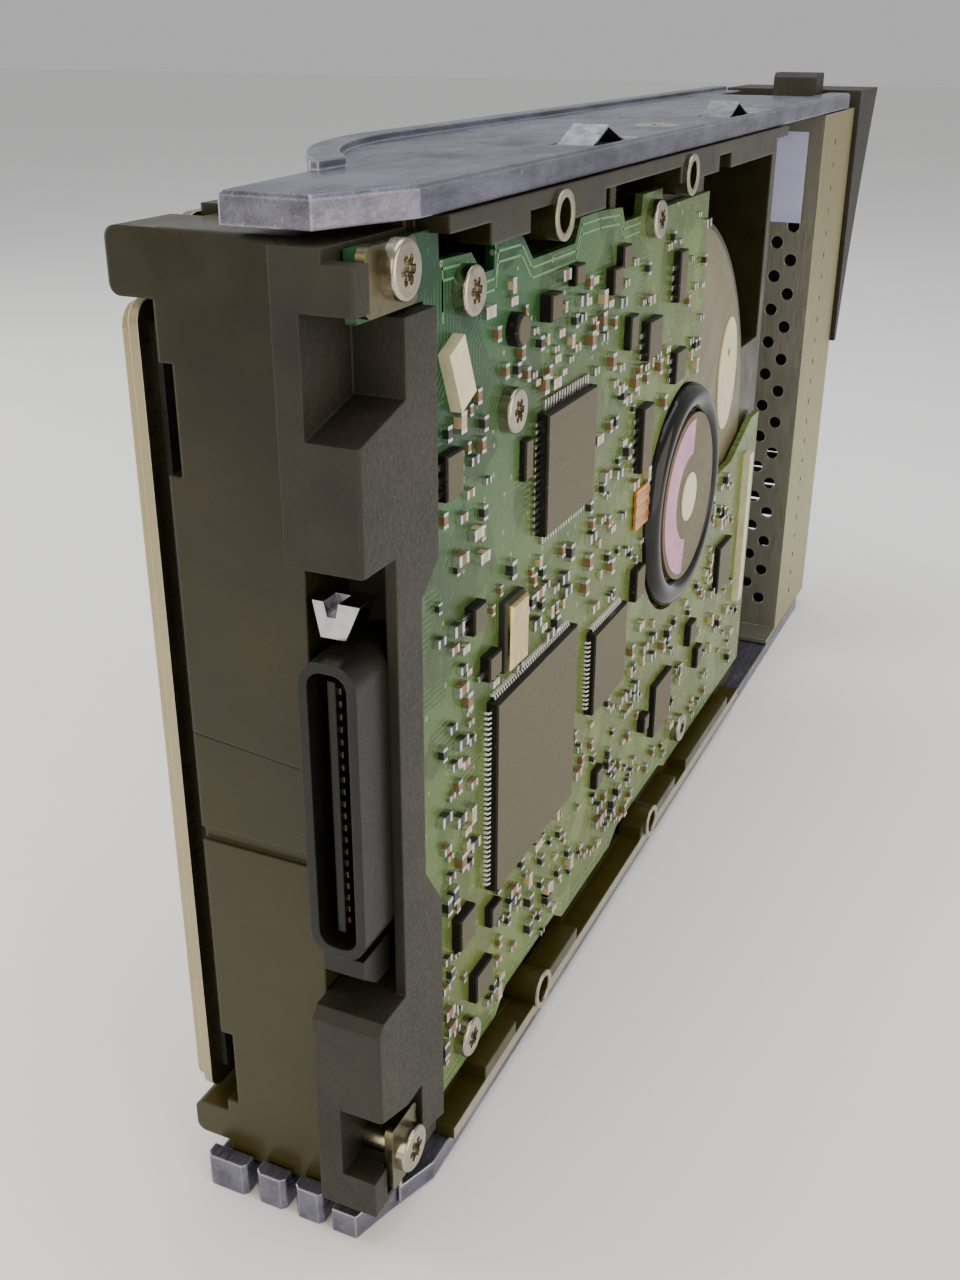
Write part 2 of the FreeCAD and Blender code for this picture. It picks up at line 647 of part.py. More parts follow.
def spindle_hub():
    y, z = SPINDLE
    body = rod("x", HUB_RADIUS, 7.8, STACK_TOP - 0.1, y, z)
    seat = rod("x", 15.2, 7.8, HUB_SEAT_X, y, z)
    hub = body.fuse(seat).cut(rod("x", 11.2, 7, 13.8, y, z))
    hub = hub.cut(rod("x", SHAFT_RADIUS + RUNNING_GAP, 5, 25, y, z))
    return trimmed(hub, [rod("x", 0.8, 13, 20, *place) for place in clamp_screw_places()]).removeSplitter()


def clamp_screw_places():
    y, z = SPINDLE
    angles = [math.radians(60 * i) for i in range(6)]
    return [(y + 8.2 * math.cos(a), z + 8.2 * math.sin(a)) for a in angles]


def platter(low):
    disc = tube("x", PLATTER_RADIUS, HUB_RADIUS + 0.02, low, low + PLATTER_THICKNESS, *SPINDLE)
    rims = [e for e in disc.Edges if e.BoundBox.ZLength > 2 * PLATTER_RADIUS - 0.1]
    return disc.makeChamfer(0.12, rims)


def disc_spacers():
    lows = [x + PLATTER_THICKNESS for x in stack_xs()[:-1]]
    return group([tube("x", 15.0, HUB_RADIUS + 0.02, x, x + PLATTER_GAP, *SPINDLE) for x in lows])


def disc_clamp():
    clamp = tube("x", 15.0, 4.0, STACK_TOP, STACK_TOP + 1.1, *SPINDLE)
    return trimmed(clamp, [rod("x", 1.0, 15, 22, *place) for place in clamp_screw_places()])


def clamp_screws():
    top = STACK_TOP + 1.1
    return group([pan_screw(top + 1.1, top, top - 4.0, y, z, 1.7, 0.8) for y, z in clamp_screw_places()])


# ---- actuator ----------------------------------------------------------------------------
def arm_layers():
    """Lower and upper x of each arm, between and outside the discs."""
    half = 0.5
    xs = stack_xs()
    middles = [xs[0] - 1.4] + [x + PLATTER_THICKNESS + PLATTER_GAP / 2 for x in xs[:-1]] + [STACK_TOP + 1.4]
    return [(m - half, m + half) for m in middles]


def sector(inner, outer, centre_angle, half_angle, x):
    """Ring sector about the pivot."""
    ring = tube("x", outer, inner, x[0], x[1], *PIVOT)
    reach = outer + 5
    a0 = math.radians(centre_angle - half_angle)
    a1 = math.radians(centre_angle + half_angle)
    wedge = [PIVOT, (PIVOT[0] + reach * math.cos(a0), PIVOT[1] + reach * math.sin(a0)),
             (PIVOT[0] + reach * math.cos((a0 + a1) / 2), PIVOT[1] + reach * math.sin((a0 + a1) / 2)),
             (PIVOT[0] + reach * math.cos(a1), PIVOT[1] + reach * math.sin(a1))]
    return ring.common(plate_x(wedge, x))


def arm_outline(length):
    """Tapered arm along +y from the pivot."""
    y, z = PIVOT
    return [(y + 5.0, z - 5.6), (y + length, z - 2.0), (y + length + 1.2, z), (y + length, z + 2.0),
            (y + 5.0, z + 5.6)]


def arm_block():
    """Machined arms on one barrel, with a fork for the coil."""
    layers = arm_layers()
    barrel = rod("x", 8.0, layers[0][0], layers[-1][1], *PIVOT)
    reach = ARM_LENGTH - 10
    arms = [turned(plate_x(arm_outline(reach), layer), PARK_ANGLE) for layer in layers]
    windows = [turned(plate_x([(PIVOT[0] + 11, PIVOT[1] - 2.4), (PIVOT[0] + 21, PIVOT[1] - 1.3),
                               (PIVOT[0] + 21, PIVOT[1] + 1.3),
                               (PIVOT[0] + 11, PIVOT[1] + 2.4)], (5, 24)), PARK_ANGLE)]
    back = PARK_ANGLE - 180
    fork = [sector(7.0, 16.0, back + side * 15.5, 6.0, COIL_X) for side in (1, -1)]
    block = fused([barrel] + arms + fork)
    return trimmed(block, windows + [rod("x", PIVOT_RADIUS + RUNNING_GAP, 0, 30, *PIVOT)]).removeSplitter()


COIL_X = (13.0, 15.4)


def voice_coil():
    back = PARK_ANGLE - 180
    outer = sector(16.0, 26.0, back, COIL_HALF_ANGLE, COIL_X)
    inner = sector(19.0, 23.0, back, COIL_HALF_ANGLE - 9.0, (COIL_X[0] - 1, COIL_X[1] + 1))
    return outer.cut(inner)


def head_suspensions():
    """Thin load beams with a slider at the tip, one above and one below each disc."""
    layers = arm_layers()
    y, z = PIVOT
    start = ARM_LENGTH - 15
    beam = [(y + start, z - 1.7), (y + ARM_LENGTH, z - 0.6), (y + ARM_LENGTH + 0.8, z), (y + ARM_LENGTH, z + 0.6),
            (y + start, z + 1.7)]
    pieces = []
    for number, (low, high) in enumerate(layers):
        if number > 0:
            pieces.append(plate_x(beam, (low - 0.15, low)).fuse(slider(low - 0.15, -1)))
        if number < len(layers) - 1:
            pieces.append(plate_x(beam, (high, high + 0.15)).fuse(slider(high + 0.15, 1)))
    return group([turned(piece, PARK_ANGLE) for piece in pieces])


def slider(x, way):
    y, z = PIVOT
    low, high = sorted((x, x + way * 0.28))
    return box((low, high), (y + ARM_LENGTH - 0.9, y + ARM_LENGTH + 0.9), (z - 0.6, z + 0.6))


def pivot_bearing():
    return rod("x", PIVOT_RADIUS, FLOOR_X, 24.4, *PIVOT)


MAGNET_CENTRE = PARK_ANGLE - 180 - ARM_SWEEP / 2


def magnet_plate(x):
    return sector(11.5, 30.5, MAGNET_CENTRE, 31.0, x)


def voice_magnet(x):
    return sector(14.0, 27.0, MAGNET_CENTRE, 26.0, x)


def magnet_posts():
    """Steel spacers that hold the two magnet plates apart."""
    posts = []
    for angle in (MAGNET_CENTRE - 29, MAGNET_CENTRE, MAGNET_CENTRE + 29):
        y = PIVOT[0] + 28.9 * math.cos(math.radians(angle))
        z = PIVOT[1] + 28.9 * math.sin(math.radians(angle))
        posts.append(rod("x", 1.3, 8.6, 19.6, y, z))
    return group(posts)


def crash_stops():
    """Rubber posts at the two ends of the coil's travel."""
    stops = []
    back = PARK_ANGLE - 180
    reach = 24.0
    margin = COIL_HALF_ANGLE + math.degrees(1.9 / reach)
    for angle in (back + margin, back - ARM_SWEEP - margin):
        y = PIVOT[0] + reach * math.cos(math.radians(angle))
        z = PIVOT[1] + reach * math.sin(math.radians(angle))
        stops.append(rod("x", 1.4, 12.2, 16.2, y, z))
    return group(stops)


def flex_bracket():
    """Socket where the arm's flexible circuit passes through the casting's floor."""
    return fused([box((FLOOR_X, 9.2), (4.0, 22.0), (-11.0, -5.0)),
                  box((9.0, 11.0), (6.0, 20.0), (-10.0, -8.4))])


# ---- circuit board -----------------------------------------------------------------------
BOARD_SCREWS = ((18.95, 43.2), (8.7, 29.8), (-35.4, 43.2), (19.3, -40.8), (-62.0, -40.0))


def board_outline():
    """Board edge, clockwise from the connector end's lower corner."""
    return [(27.0, -45.2), (27.0, -16.6), (30.6, -11.4), (30.6, 17.8), (27.0, 20.8), (27.0, 43.5), (38.4, 43.5),
            (38.4, 49.2), (24.0, 49.2), (23.8, 46.4), (17.2, 46.2), (14.8, 44.0), (12.2, 44.0), (11.9, 46.3),
            (5.3, 46.2), (2.6, 43.6), (-9.0, 43.6), (-10.6, 46.1), (-17.0, 46.1), (-24.2, 45.7), (-25.2, 44.0),
            (-31.2, 44.0), (-31.6, 46.4), (-39.2, 46.4), (-39.6, 44.0), (-61.0, 44.0), (-61.0, -1.5), (-86.0, -1.5),
            (-98.0, 3.0), (-103.0, 3.0), (-103.0, -44.8), (-57.0, -44.8), (-54.0, -43.2), (-34.0, -43.2),
            (-31.0, -45.0), (-12.0, -45.0), (-9.0, -42.8), (7.0, -42.8), (10.0, -45.2)]


def circuit_board():
    board = plate_x(board_outline(), BOARD_X)
    cuts = [rod("x", 17.2, 0, 5, *SPINDLE)]
    cuts += [rod("x", 1.1, 0, 5, y, z) for y, z in BOARD_SCREWS]
    cuts.append(rod("x", 1.5, 0, 5, LUGS[0][2], LUGS[0][3]))
    return trimmed(board, cuts)


def board_screws():
    return group([pan_screw(1.0, BOARD_X[0], 5.8, y, z, 2.35, 1.0) for y, z in BOARD_SCREWS])


def insulator_pad():
    """Foam sheet between the board and the casting."""
    pad = box((BOARD_X[1], BOARD_FACE_X), (-37.0, 24.0), (-42.0, 42.0))
    cuts = [rod("x", 18.5, 0, 6, *SPINDLE)]
    cuts += [rod("x", 3.4, 0, 6, y, z) for y, z in BOARD_SCREWS]
    return trimmed(pad, cuts)


def chip(y, z, height):
    """Moulded package on the board, with its edges eased."""
    body = box((BOARD_X[0] - height, BOARD_X[0]), y, z)
    return body.makeChamfer(0.18, [e for e in body.Edges if e.BoundBox.XMax < BOARD_X[0] - height + 0.01])


def gull_legs(y, z, pitch, sides):
    """Bent legs along the named sides of a package."""
    legs = []
    x = (BOARD_X[0] - 0.45, BOARD_X[0])
    if "z" in sides:
        for i in range(int((z[1] - z[0] - 1.6) / pitch) + 1):
            at = z[0] + 0.8 + i * pitch
            for start, end in ((y[0] - 1.3, y[0]), (y[1], y[1] + 1.3)):
                legs.append(box(x, (start, end), (at - pitch / 4, at + pitch / 4)))
    if "y" in sides:
        for i in range(int((y[1] - y[0] - 1.6) / pitch) + 1):
            at = y[0] + 0.8 + i * pitch
            for start, end in ((z[0] - 1.3, z[0]), (z[1], z[1] + 1.3)):
                legs.append(box(x, (at - pitch / 4, at + pitch / 4), (start, end)))
    return legs


CONTROLLER = ((-10.6, 13.2), (-24.8, -1.0), 1.4)
SERVO = ((-14.3, 0.6), (13.7, 27.4), 1.4)
BUFFER = ((-30.0, -17.6), (-16.9, -5.4), 1.3)
SMALL_CHIPS = (
    ((21.0, 24.6), (29.3, 24.9), 1.1), ((-38.9, -33.6), (31.0, 26.0), 1.2),
    ((-49.1, -45.8), (37.9, 31.3), 1.1), ((15.8, 18.7), (12.1, 9.1), 1.2),
    ((11.9, 14.9), (5.1, 2.3), 1.2), ((-37.0, -32.9), (20.1, 11.4), 1.3),
    ((-51.5, -47.0), (24.5, 20.1), 1.0), ((-37.8, -34.2), (-2.7, -7.3), 1.1),
    ((-55.1, -46.9), (-25.9, -34.6), 1.0), ((-87.2, -79.8), (-14.9, -23.1), 1.0),
    ((18.2, 22.0), (-23.1, -27.2), 1.2), ((13.1, 17.7), (-33.6, -37.4), 1.1))


def small_chips():
    return group([chip(y, tuple(sorted(z)), height) for y, z, height in SMALL_CHIPS])


def chip_legs():
    """Legs of the servo chip, its four sides, and of the small packages, two sides each."""
    legs = gull_legs(SERVO[0], SERVO[1], 0.8, "yz")
    for y, z, _ in SMALL_CHIPS[:7]:
        legs += gull_legs(y, tuple(sorted(z)), 1.27, "z")
    return group(legs)


def oscillator_base():
    return chip((5.0, 10.2), (1.2, 9.4), 0.9)


def oscillator_lid():
    lid = box((BOARD_X[0] - 1.5, BOARD_X[0] - 0.9), (5.3, 9.9), (1.5, 9.1))
    return lid.makeChamfer(0.25, [e for e in lid.Edges if e.BoundBox.XMax < BOARD_X[0] - 1.49])


def shock_sensor():
    """Cream ceramic block set askew on the board."""
    block = box((1.2, BOARD_X[0]), (-1.7, 1.7), (-3.1, 3.1))
    block.rotate(V(0, 0, 0), V(1, 0, 0), -24)
    block.translate(V(0, 21.4, 36.2))
    return block


POWER_PARTS = (
    ((-2.5, 0.5), (37.0, 39.8), 1.4), ((-10.1, -7.4), (39.4, 41.6), 1.0),
    ((-22.5, -19.5), (36.5, 39.5), 1.1), ((-25.6, -22.8), (39.0, 41.6), 1.0),
    ((-29.6, -26.8), (28.7, 32.8), 1.0), ((3.3, 5.3), (21.3, 25.7), 0.8),
    ((-43.6, -41.4), (-28.4, -31.1), 1.2), ((-24.1, -21.4), (-27.4, -30.1), 1.0),
    ((-67.5, -64.1), (-22.6, -26.4), 1.1), ((-72.6, -70.0), (-29.2, -32.8), 1.0),
    ((10.6, 13.4), (-27.2, -29.8), 1.0))


def power_parts():
    """Inductors and large capacitors, and one drum-shaped coil."""
    shapes = [chip(y, tuple(sorted(z)), height) for y, z, height in POWER_PARTS]
    drum = rod("x", 1.7, 1.0, BOARD_X[0], 7.6, 37.6)
    shapes.append(drum.makeFillet(0.5, [e for e in drum.Edges if e.BoundBox.XMax < 1.01]))
    return group(shapes)


def flex_socket():
    """Cream strip socket for the head circuit, at the board's far end."""
    return box((1.2, BOARD_X[0]), (-97.0, -94.6), (-30.0, -2.6))


def motor_flex():
    """Flat copper tail from the motor to the board."""
    return box((1.9, 2.3), (-39.2, -34.0), (3.0, 8.6))


def seal_sticker():
    """Oval cream seal on the disc pan, with its small hole."""
    seal = rod("x", 5.2, BOARD_FACE_X - 0.2, BOARD_FACE_X, 0, 0)
    stretch = FreeCAD.Matrix()
    stretch.scale(1, 1.0, 1.75)
    seal = seal.transformGeometry(stretch)
    seal.translate(V(0, -84.0, 13.5))
    return seal.cut(rod("x", 0.7, 0, 5, -84.0, 17.0)).common(rod("x", PAN_RADIUS - 0.3, 0, 8, *SPINDLE))


def shield_label():
    return box((4.0, 24.0), (PLATE_Y, PLATE_Y + 0.15), (31.6, 47.4))


def cover_label():
    """Blank label on the cover."""
    return box((26.9, 27.1), (-92.0, 10.0), (-30.0, 30.0))


# ---- every node --------------------------------------------------------------------------
def build():
    nodes = {
        "top_rail": top_rail, "bottom_rail": bottom_rail, "ground_springs": ground_springs,
        "side_screws": side_screws, "shield_cage": shield_cage, "front_bezel": front_bezel,
        "status_lenses": status_lenses, "handle_lever": handle_lever, "lever_pin": lever_pin,
        "release_button": release_button, "button_spring": button_spring,
        "rear_bracket": rear_bracket, "connector_shroud": connector_shroud,
        "connector_contacts": connector_contacts, "guide_tab": guide_tab, "key_block": key_block,
        "earth_lugs": earth_lugs, "lug_screws": lug_screws, "base_casting": base_casting,
        "cover_gasket": cover_gasket, "cover_screws": cover_screws, "breather_filter": breather_filter,
        "recirculation_filter": recirculation_filter, "motor_base": motor_base, "motor_ring": motor_ring,
        "motor_cap": motor_cap, "spindle_shaft": spindle_shaft, "motor_stator": motor_stator,
        "spindle_hub": spindle_hub, "disc_spacers": disc_spacers, "disc_clamp": disc_clamp,
        "clamp_screws": clamp_screws, "arm_block": arm_block, "voice_coil": voice_coil,
        "head_suspensions": head_suspensions, "pivot_bearing": pivot_bearing,
        "magnet_posts": magnet_posts, "crash_stops": crash_stops, "flex_bracket": flex_bracket,
        "circuit_board": circuit_board, "board_screws": board_screws, "insulator_pad": insulator_pad,
        "small_chips": small_chips, "chip_legs": chip_legs, "oscillator_base": oscillator_base,
        "oscillator_lid": oscillator_lid, "shock_sensor": shock_sensor, "power_parts": power_parts,
        "flex_socket": flex_socket, "motor_flex": motor_flex, "seal_sticker": seal_sticker,
        "shield_label": shield_label,
    }
    for node, make in nodes.items():
        save(node, make())
    save("top_cover", cover_plate((24.8, 25.8), 0.0, 2.0, 1.2))
    save("damping_plate", cover_plate((25.9, 26.9), 0.5, 2.0, 2.7))
    save("logic_chips", group([chip(*CONTROLLER), chip(*BUFFER)]))
    save("servo_chip", chip(*SERVO))
    save("magnet_plates", group([magnet_plate((6.9, 8.6)), magnet_plate((19.6, 21.2))]))
    save("voice_magnets", group([voice_magnet((8.6, 12.0)), voice_magnet((16.4, 19.6))]))
    save("platters", group([platter(low) for low in stack_xs()]))


os.makedirs(OUT, exist_ok=True)
build()
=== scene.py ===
"""Looks for a hard disk drive in its hot-swap carrier.

The file is laid out as an add-on and run as a script: the frame is loaded first, each operator
finishes or adds one group of pieces round it, and main() calls them in order.
"""
import json
import math
import random

import bmesh
import bpy
import numpy as np
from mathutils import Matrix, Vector
from mathutils.bvhtree import BVHTree


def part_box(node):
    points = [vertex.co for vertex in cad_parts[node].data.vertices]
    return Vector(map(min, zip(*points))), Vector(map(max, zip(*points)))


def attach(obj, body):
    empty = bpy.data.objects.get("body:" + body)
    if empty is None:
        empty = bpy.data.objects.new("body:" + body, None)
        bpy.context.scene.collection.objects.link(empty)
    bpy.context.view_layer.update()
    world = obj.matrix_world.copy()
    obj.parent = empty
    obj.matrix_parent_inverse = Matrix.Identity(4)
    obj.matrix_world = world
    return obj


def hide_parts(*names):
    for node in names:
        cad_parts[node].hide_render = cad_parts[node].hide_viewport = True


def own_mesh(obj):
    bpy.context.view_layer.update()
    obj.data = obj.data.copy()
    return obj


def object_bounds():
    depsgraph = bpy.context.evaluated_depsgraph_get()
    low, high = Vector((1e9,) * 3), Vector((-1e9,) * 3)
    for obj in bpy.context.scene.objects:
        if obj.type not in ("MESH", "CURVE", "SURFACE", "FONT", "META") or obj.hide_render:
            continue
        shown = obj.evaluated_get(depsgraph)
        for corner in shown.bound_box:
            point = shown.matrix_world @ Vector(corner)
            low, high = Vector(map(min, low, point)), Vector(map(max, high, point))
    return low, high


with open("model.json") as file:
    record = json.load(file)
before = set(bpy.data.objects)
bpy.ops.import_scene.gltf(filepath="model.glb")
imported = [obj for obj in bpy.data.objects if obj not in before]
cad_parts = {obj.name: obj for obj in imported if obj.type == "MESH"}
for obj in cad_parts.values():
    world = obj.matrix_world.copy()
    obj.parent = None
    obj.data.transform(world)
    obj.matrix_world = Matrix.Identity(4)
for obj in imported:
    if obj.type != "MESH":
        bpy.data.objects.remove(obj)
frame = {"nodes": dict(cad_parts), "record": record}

bl_info = {
    "name": "Hard Disk Drive Finish",
    "version": (1, 0, 0),
    "blender": (4, 5, 0),
    "location": "View3D > Sidebar > Disk Drive",
    "description": "Materials, board dressing and a small studio for a hard disk drive in its carrier",
    "category": "Object",
}

CAD_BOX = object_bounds()
ROOT = "carrier_and_drive"
MM = 0.001
NODES = frame["nodes"]
HOLES = next(m for m in frame["record"]["mounts"] if m["name"] == "bottom_holes")
# the drive's datum: mounting face, first pair of bottom holes, middle of the width
DATUM = Vector(HOLES["pos_m"]) + Vector((0, HOLES["dims"]["spacing_x_mm"] * MM / 2, 0))
BOARD_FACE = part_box("circuit_board")[0][0]


def place(x, y, z):
    """A point given in millimetres from the drive's datum, in the frame's metres."""
    return DATUM + Vector((x, y, z)) * MM


SPINDLE = place(0, -56.0, 1.5)

# casting: how deep the bare boss faces, the bare lower rim and the disc pan reach from the datum; the disc
# pan is painted olive-brown as painted warm light
BOSS_DEPTH, RIM_DEPTH, PAN_DEPTH = 0.2 * MM, 0.56 * MM, 4.6 * MM
RIM_HEIGHT = 48.85 * MM
PAN_RADIUS = 38.6 * MM

# board lacquer: trace regions, trace pitch, vias, and the painted warm light that turns its green yellow
TRACE_REGION, TRACE_PITCH, VIA_SPACING = 6.5 * MM, 0.62 * MM, 2.3 * MM
WARM_LIGHT_WAY, WARM_LIGHT_FROM, WARM_LIGHT_REACH = Vector((0.0, -0.6, -0.8)), place(0, 10, 46), 55 * MM

# small two-ended parts, as shares of their length; the bright ends stand proud of the body
PART_WIDTH, PART_HEIGHT, PART_REACH = 0.55, 0.42, 0.62
BODY_LENGTH, END_LENGTH, END_MIDDLE = 0.62, 0.24, 0.40
END_LIFT, END_TALLER, END_WIDER = 0.01 * MM, 0.02 * MM, 0.04 * MM
PART_GRID = 0.5
PART_GAP = 0.12 * MM

# solder joints of the connector's edge: two columns of domes
JOINT_COLUMNS = (29.9, 28.6)
JOINTS, JOINT_PITCH, JOINT_START, JOINT_STAGGER = 22, 1.27, -10.4, 0.3
JOINT_DEPTH = 2.4
JOINT_SIZE = (0.8 * MM, 0.75 * MM, 0.8 * MM)

# legs of the large chips
LEG_THICKNESS, LEG_WIDTH, LEG_SPAN = 0.12 * MM, 0.18 * MM, 0.3 * MM
LEG_OUT, LEG_RISE, LEG_MARGIN = 0.14 * MM, 0.55 * MM, 1.2 * MM
FOOT_HEIGHT, FOOT_DROP = 0.50 * MM, 0.30 * MM

# round shapes: faces in a full turn of a label, of the spring's helix, and round its wire
SECTOR_SEGMENTS, COIL_SEGMENTS, WIRE_SIDES = 96, 28, 8

SPRING_WIRE, SPRING_TURNS = 0.2 * MM, 4


# ---- settings ----------------------------------------------------------------------------
def colour(name, description, default):
    return bpy.props.FloatVectorProperty(
        name=name, description=description, default=default, subtype="COLOR", size=3, min=0.0, max=1.0)


class DiskFinishSettings(bpy.types.PropertyGroup):
    """Colours and textures of the finishes."""
    rail: colour("Rail", "Bare die-cast metal of the carrier's rails", (0.24, 0.235, 0.32))
    paint: colour("Casting paint", "Semi-gloss black paint of the drive's casting", (0.012, 0.010, 0.003))
    steel: colour("Cover steel", "Bare steel of the cover", (0.40, 0.345, 0.22))
    shield: colour("Shield", "Plated steel of the perforated shield", (0.25, 0.24, 0.20))
    moulding: colour("Moulding", "Textured black plastic", (0.017, 0.0145, 0.0095))
    mask: colour("Solder mask", "Green lacquer of the circuit board", (0.006, 0.040, 0.016))
    trace: colour("Traces", "Lacquer over copper, lighter than the bare board", (0.030, 0.110, 0.045))
    resin: colour("Chip resin", "Moulded epoxy of the chips", (0.022, 0.019, 0.011))
    cream: colour("Cream", "Seal, socket and ceramic parts", (0.70, 0.64, 0.42))
    grain: bpy.props.FloatProperty(
        name="Moulding grain", description="Size of the texture on black plastic", default=0.45 * MM,
        min=0.0001, max=0.005, unit="LENGTH", precision=5)


class DiskBoardSettings(bpy.types.PropertyGroup):
    """Sizes of the small parts on the circuit board."""
    part_length: bpy.props.FloatProperty(
        name="Part length", description="Length of a common surface-mounted part", default=1.5 * MM,
        min=0.0004, max=0.004, unit="LENGTH", precision=5)
    leg_pitch: bpy.props.FloatProperty(
        name="Leg pitch", description="Spacing of the legs of the large chips", default=0.62 * MM,
        min=0.0002, max=0.002, unit="LENGTH", precision=5)
    trace_width: bpy.props.FloatProperty(
        name="Trace width", description="Width of the guard traces along the board's edge", default=0.22 * MM,
        min=0.00005, max=0.002, unit="LENGTH", precision=5)
    seed: bpy.props.IntProperty(
        name="Layout seed", description="Seed of the layout of small parts", default=11, min=0)


class DiskStageSettings(bpy.types.PropertyGroup):
    """Camera and lights."""
    camera_from_datum: bpy.props.FloatVectorProperty(
        name="Camera", description="Camera's place, from the drive's datum",
        default=(-0.0505707, 0.1313628, 0.0649327), subtype="TRANSLATION", size=3, unit="LENGTH")
    camera_turn: bpy.props.FloatVectorProperty(
        name="Camera turn", description="Camera's angles",
        default=(math.radians(65.6525), math.radians(-0.2274), math.radians(-155.4256)),
        subtype="EULER", size=3)
    lens: bpy.props.FloatProperty(
        name="Lens", description="Focal length, for a 36 mm long side", default=38.32, min=10.0, max=200.0,
        unit="CAMERA")
    light: bpy.props.FloatProperty(
        name="Light", description="Scale of all lamps", default=1.0, min=0.0, max=10.0)


# ---- materials ---------------------------------------------------------------------------
class Graph:
    """Builds a material's nodes with short calls."""

    def __init__(self, name):
        self.material = bpy.data.materials.new(name)
        self.material.use_nodes = True
        self.tree = self.material.node_tree
        self.shader = self.tree.nodes["Principled BSDF"]
        self.object = self.add("ShaderNodeTexCoord").outputs["Object"]

    def add(self, kind, inputs=None, **settings):
        made = self.tree.nodes.new(kind)
        for key, value in settings.items():
            setattr(made, key, value)
        for key, value in (inputs or {}).items():
            self.feed(made.inputs[key], value)
        return made

    def feed(self, socket, value):
        if isinstance(value, bpy.types.NodeSocket):
            self.tree.links.new(value, socket)
        else:
            socket.default_value = value

    def noise(self, size, detail=3.0, rough=0.55, vector=None):
        """Noise whose features are about size metres across."""
        inputs = {"Vector": vector or self.object, "Scale": 1.0 / size, "Detail": detail, "Roughness": rough}
        return self.add("ShaderNodeTexNoise", inputs).outputs["Fac"]

    def spread(self, value, low, high, to_low=0.0, to_high=1.0):
        inputs = {"Value": value, "From Min": low, "From Max": high, "To Min": to_low, "To Max": to_high}
        return self.add("ShaderNodeMapRange", inputs, clamp=True).outputs["Result"]

    def maths(self, operation, a, b=0.0, c=0.0):
        made = self.add("ShaderNodeMath", operation=operation)
        for socket, value in zip(made.inputs, (a, b, c)):
            self.feed(socket, value)
        return made.outputs[0]

    def mix(self, factor, a, b):
        made = self.add("ShaderNodeMix", data_type="RGBA")
        for index, value in ((0, factor), (6, a), (7, b)):
            if isinstance(value, tuple) and len(value) == 3:
                value = value + (1.0,)
            self.feed(made.inputs[index], value)
        return made.outputs[2]

    def axes(self, vector=None):
        return self.add("ShaderNodeSeparateXYZ", {"Vector": vector or self.object}).outputs

    def stretched(self, scale):
        return self.add("ShaderNodeMapping", {"Vector": self.object, "Scale": scale}).outputs["Vector"]

    def edge(self, radius):
        """(softened normal, how sharp the surface is here)."""
        soft = self.add("ShaderNodeBevel", {"Radius": radius}, samples=4).outputs["Normal"]
        flat = self.add("ShaderNodeNewGeometry").outputs["True Normal"]
        dot = self.add("ShaderNodeVectorMath", operation="DOT_PRODUCT")
        self.feed(dot.inputs[0], soft)
        self.feed(dot.inputs[1], flat)
        return soft, self.spread(dot.outputs["Value"], 0.995, 0.80)

    def bump(self, height, strength, distance, normal=None):
        inputs = {"Height": height, "Strength": strength, "Distance": distance}
        if normal is not None:
            inputs["Normal"] = normal
        return self.add("ShaderNodeBump", inputs).outputs["Normal"]

    def finish(self, base, rough, normal, metallic=0.0, **values):
        self.feed(self.shader.inputs["Base Color"], base)
        self.feed(self.shader.inputs["Roughness"], rough)
        self.feed(self.shader.inputs["Normal"], normal)
        self.shader.inputs["Metallic"].default_value = metallic
        for key, value in values.items():
            self.shader.inputs[key.replace("_", " ")].default_value = value
        return self.material


def cast_metal(name, base):
    """Bare die-cast metal: mottled, finely pitted, with a painted highlight that makes it brighter along its
    edges.
    """
    g = Graph(name)
    soft, sharp = g.edge(0.35 * MM)
    flow = g.noise(5 * MM, 5.0, 0.6, g.stretched((1.6, 0.5, 1.6)))
    cloud = g.spread(g.maths("ADD", flow, g.maths("MULTIPLY", g.noise(22 * MM, 3.0), 0.6)), 0.62, 0.98)
    pits = g.noise(0.9 * MM, 4.0, 0.7)
    dark = tuple(0.42 * c for c in base)
    body = g.mix(cloud, dark, tuple(base))
    speck = g.mix(g.spread(pits, 0.62, 0.75), body, tuple(min(1.0, 1.7 * c) for c in base))
    # painted highlight: sharp edges turn near-white
    painted_edge_highlight = g.mix(g.maths("MULTIPLY", sharp, 0.55), speck, (0.78, 0.78, 0.80))
    height = g.maths("ADD", g.maths("MULTIPLY", pits, 0.6), cloud)
    scuffs = g.noise(1.2 * MM, 2.0, 0.5, g.stretched((8.0, 0.6, 8.0)))
    rough = g.spread(scuffs, 0.35, 0.7, 0.24, 0.46)
    return g.finish(painted_edge_highlight, rough, g.bump(height, 0.35, 0.12 * MM, soft), 0.85)


def spindle_reach(g):
    """Distance from the spindle's axis."""
    axis = (0.0, SPINDLE.y, SPINDLE.z)
    moved = g.add("ShaderNodeVectorMath", {0: g.object, 1: axis}, operation="SUBTRACT").outputs["Vector"]
    flat = g.add("ShaderNodeVectorMath", {0: moved, 1: (0.0, 1.0, 1.0)}, operation="MULTIPLY")
    return g.add("ShaderNodeVectorMath", {0: flat.outputs["Vector"]}, operation="LENGTH").outputs["Value"]


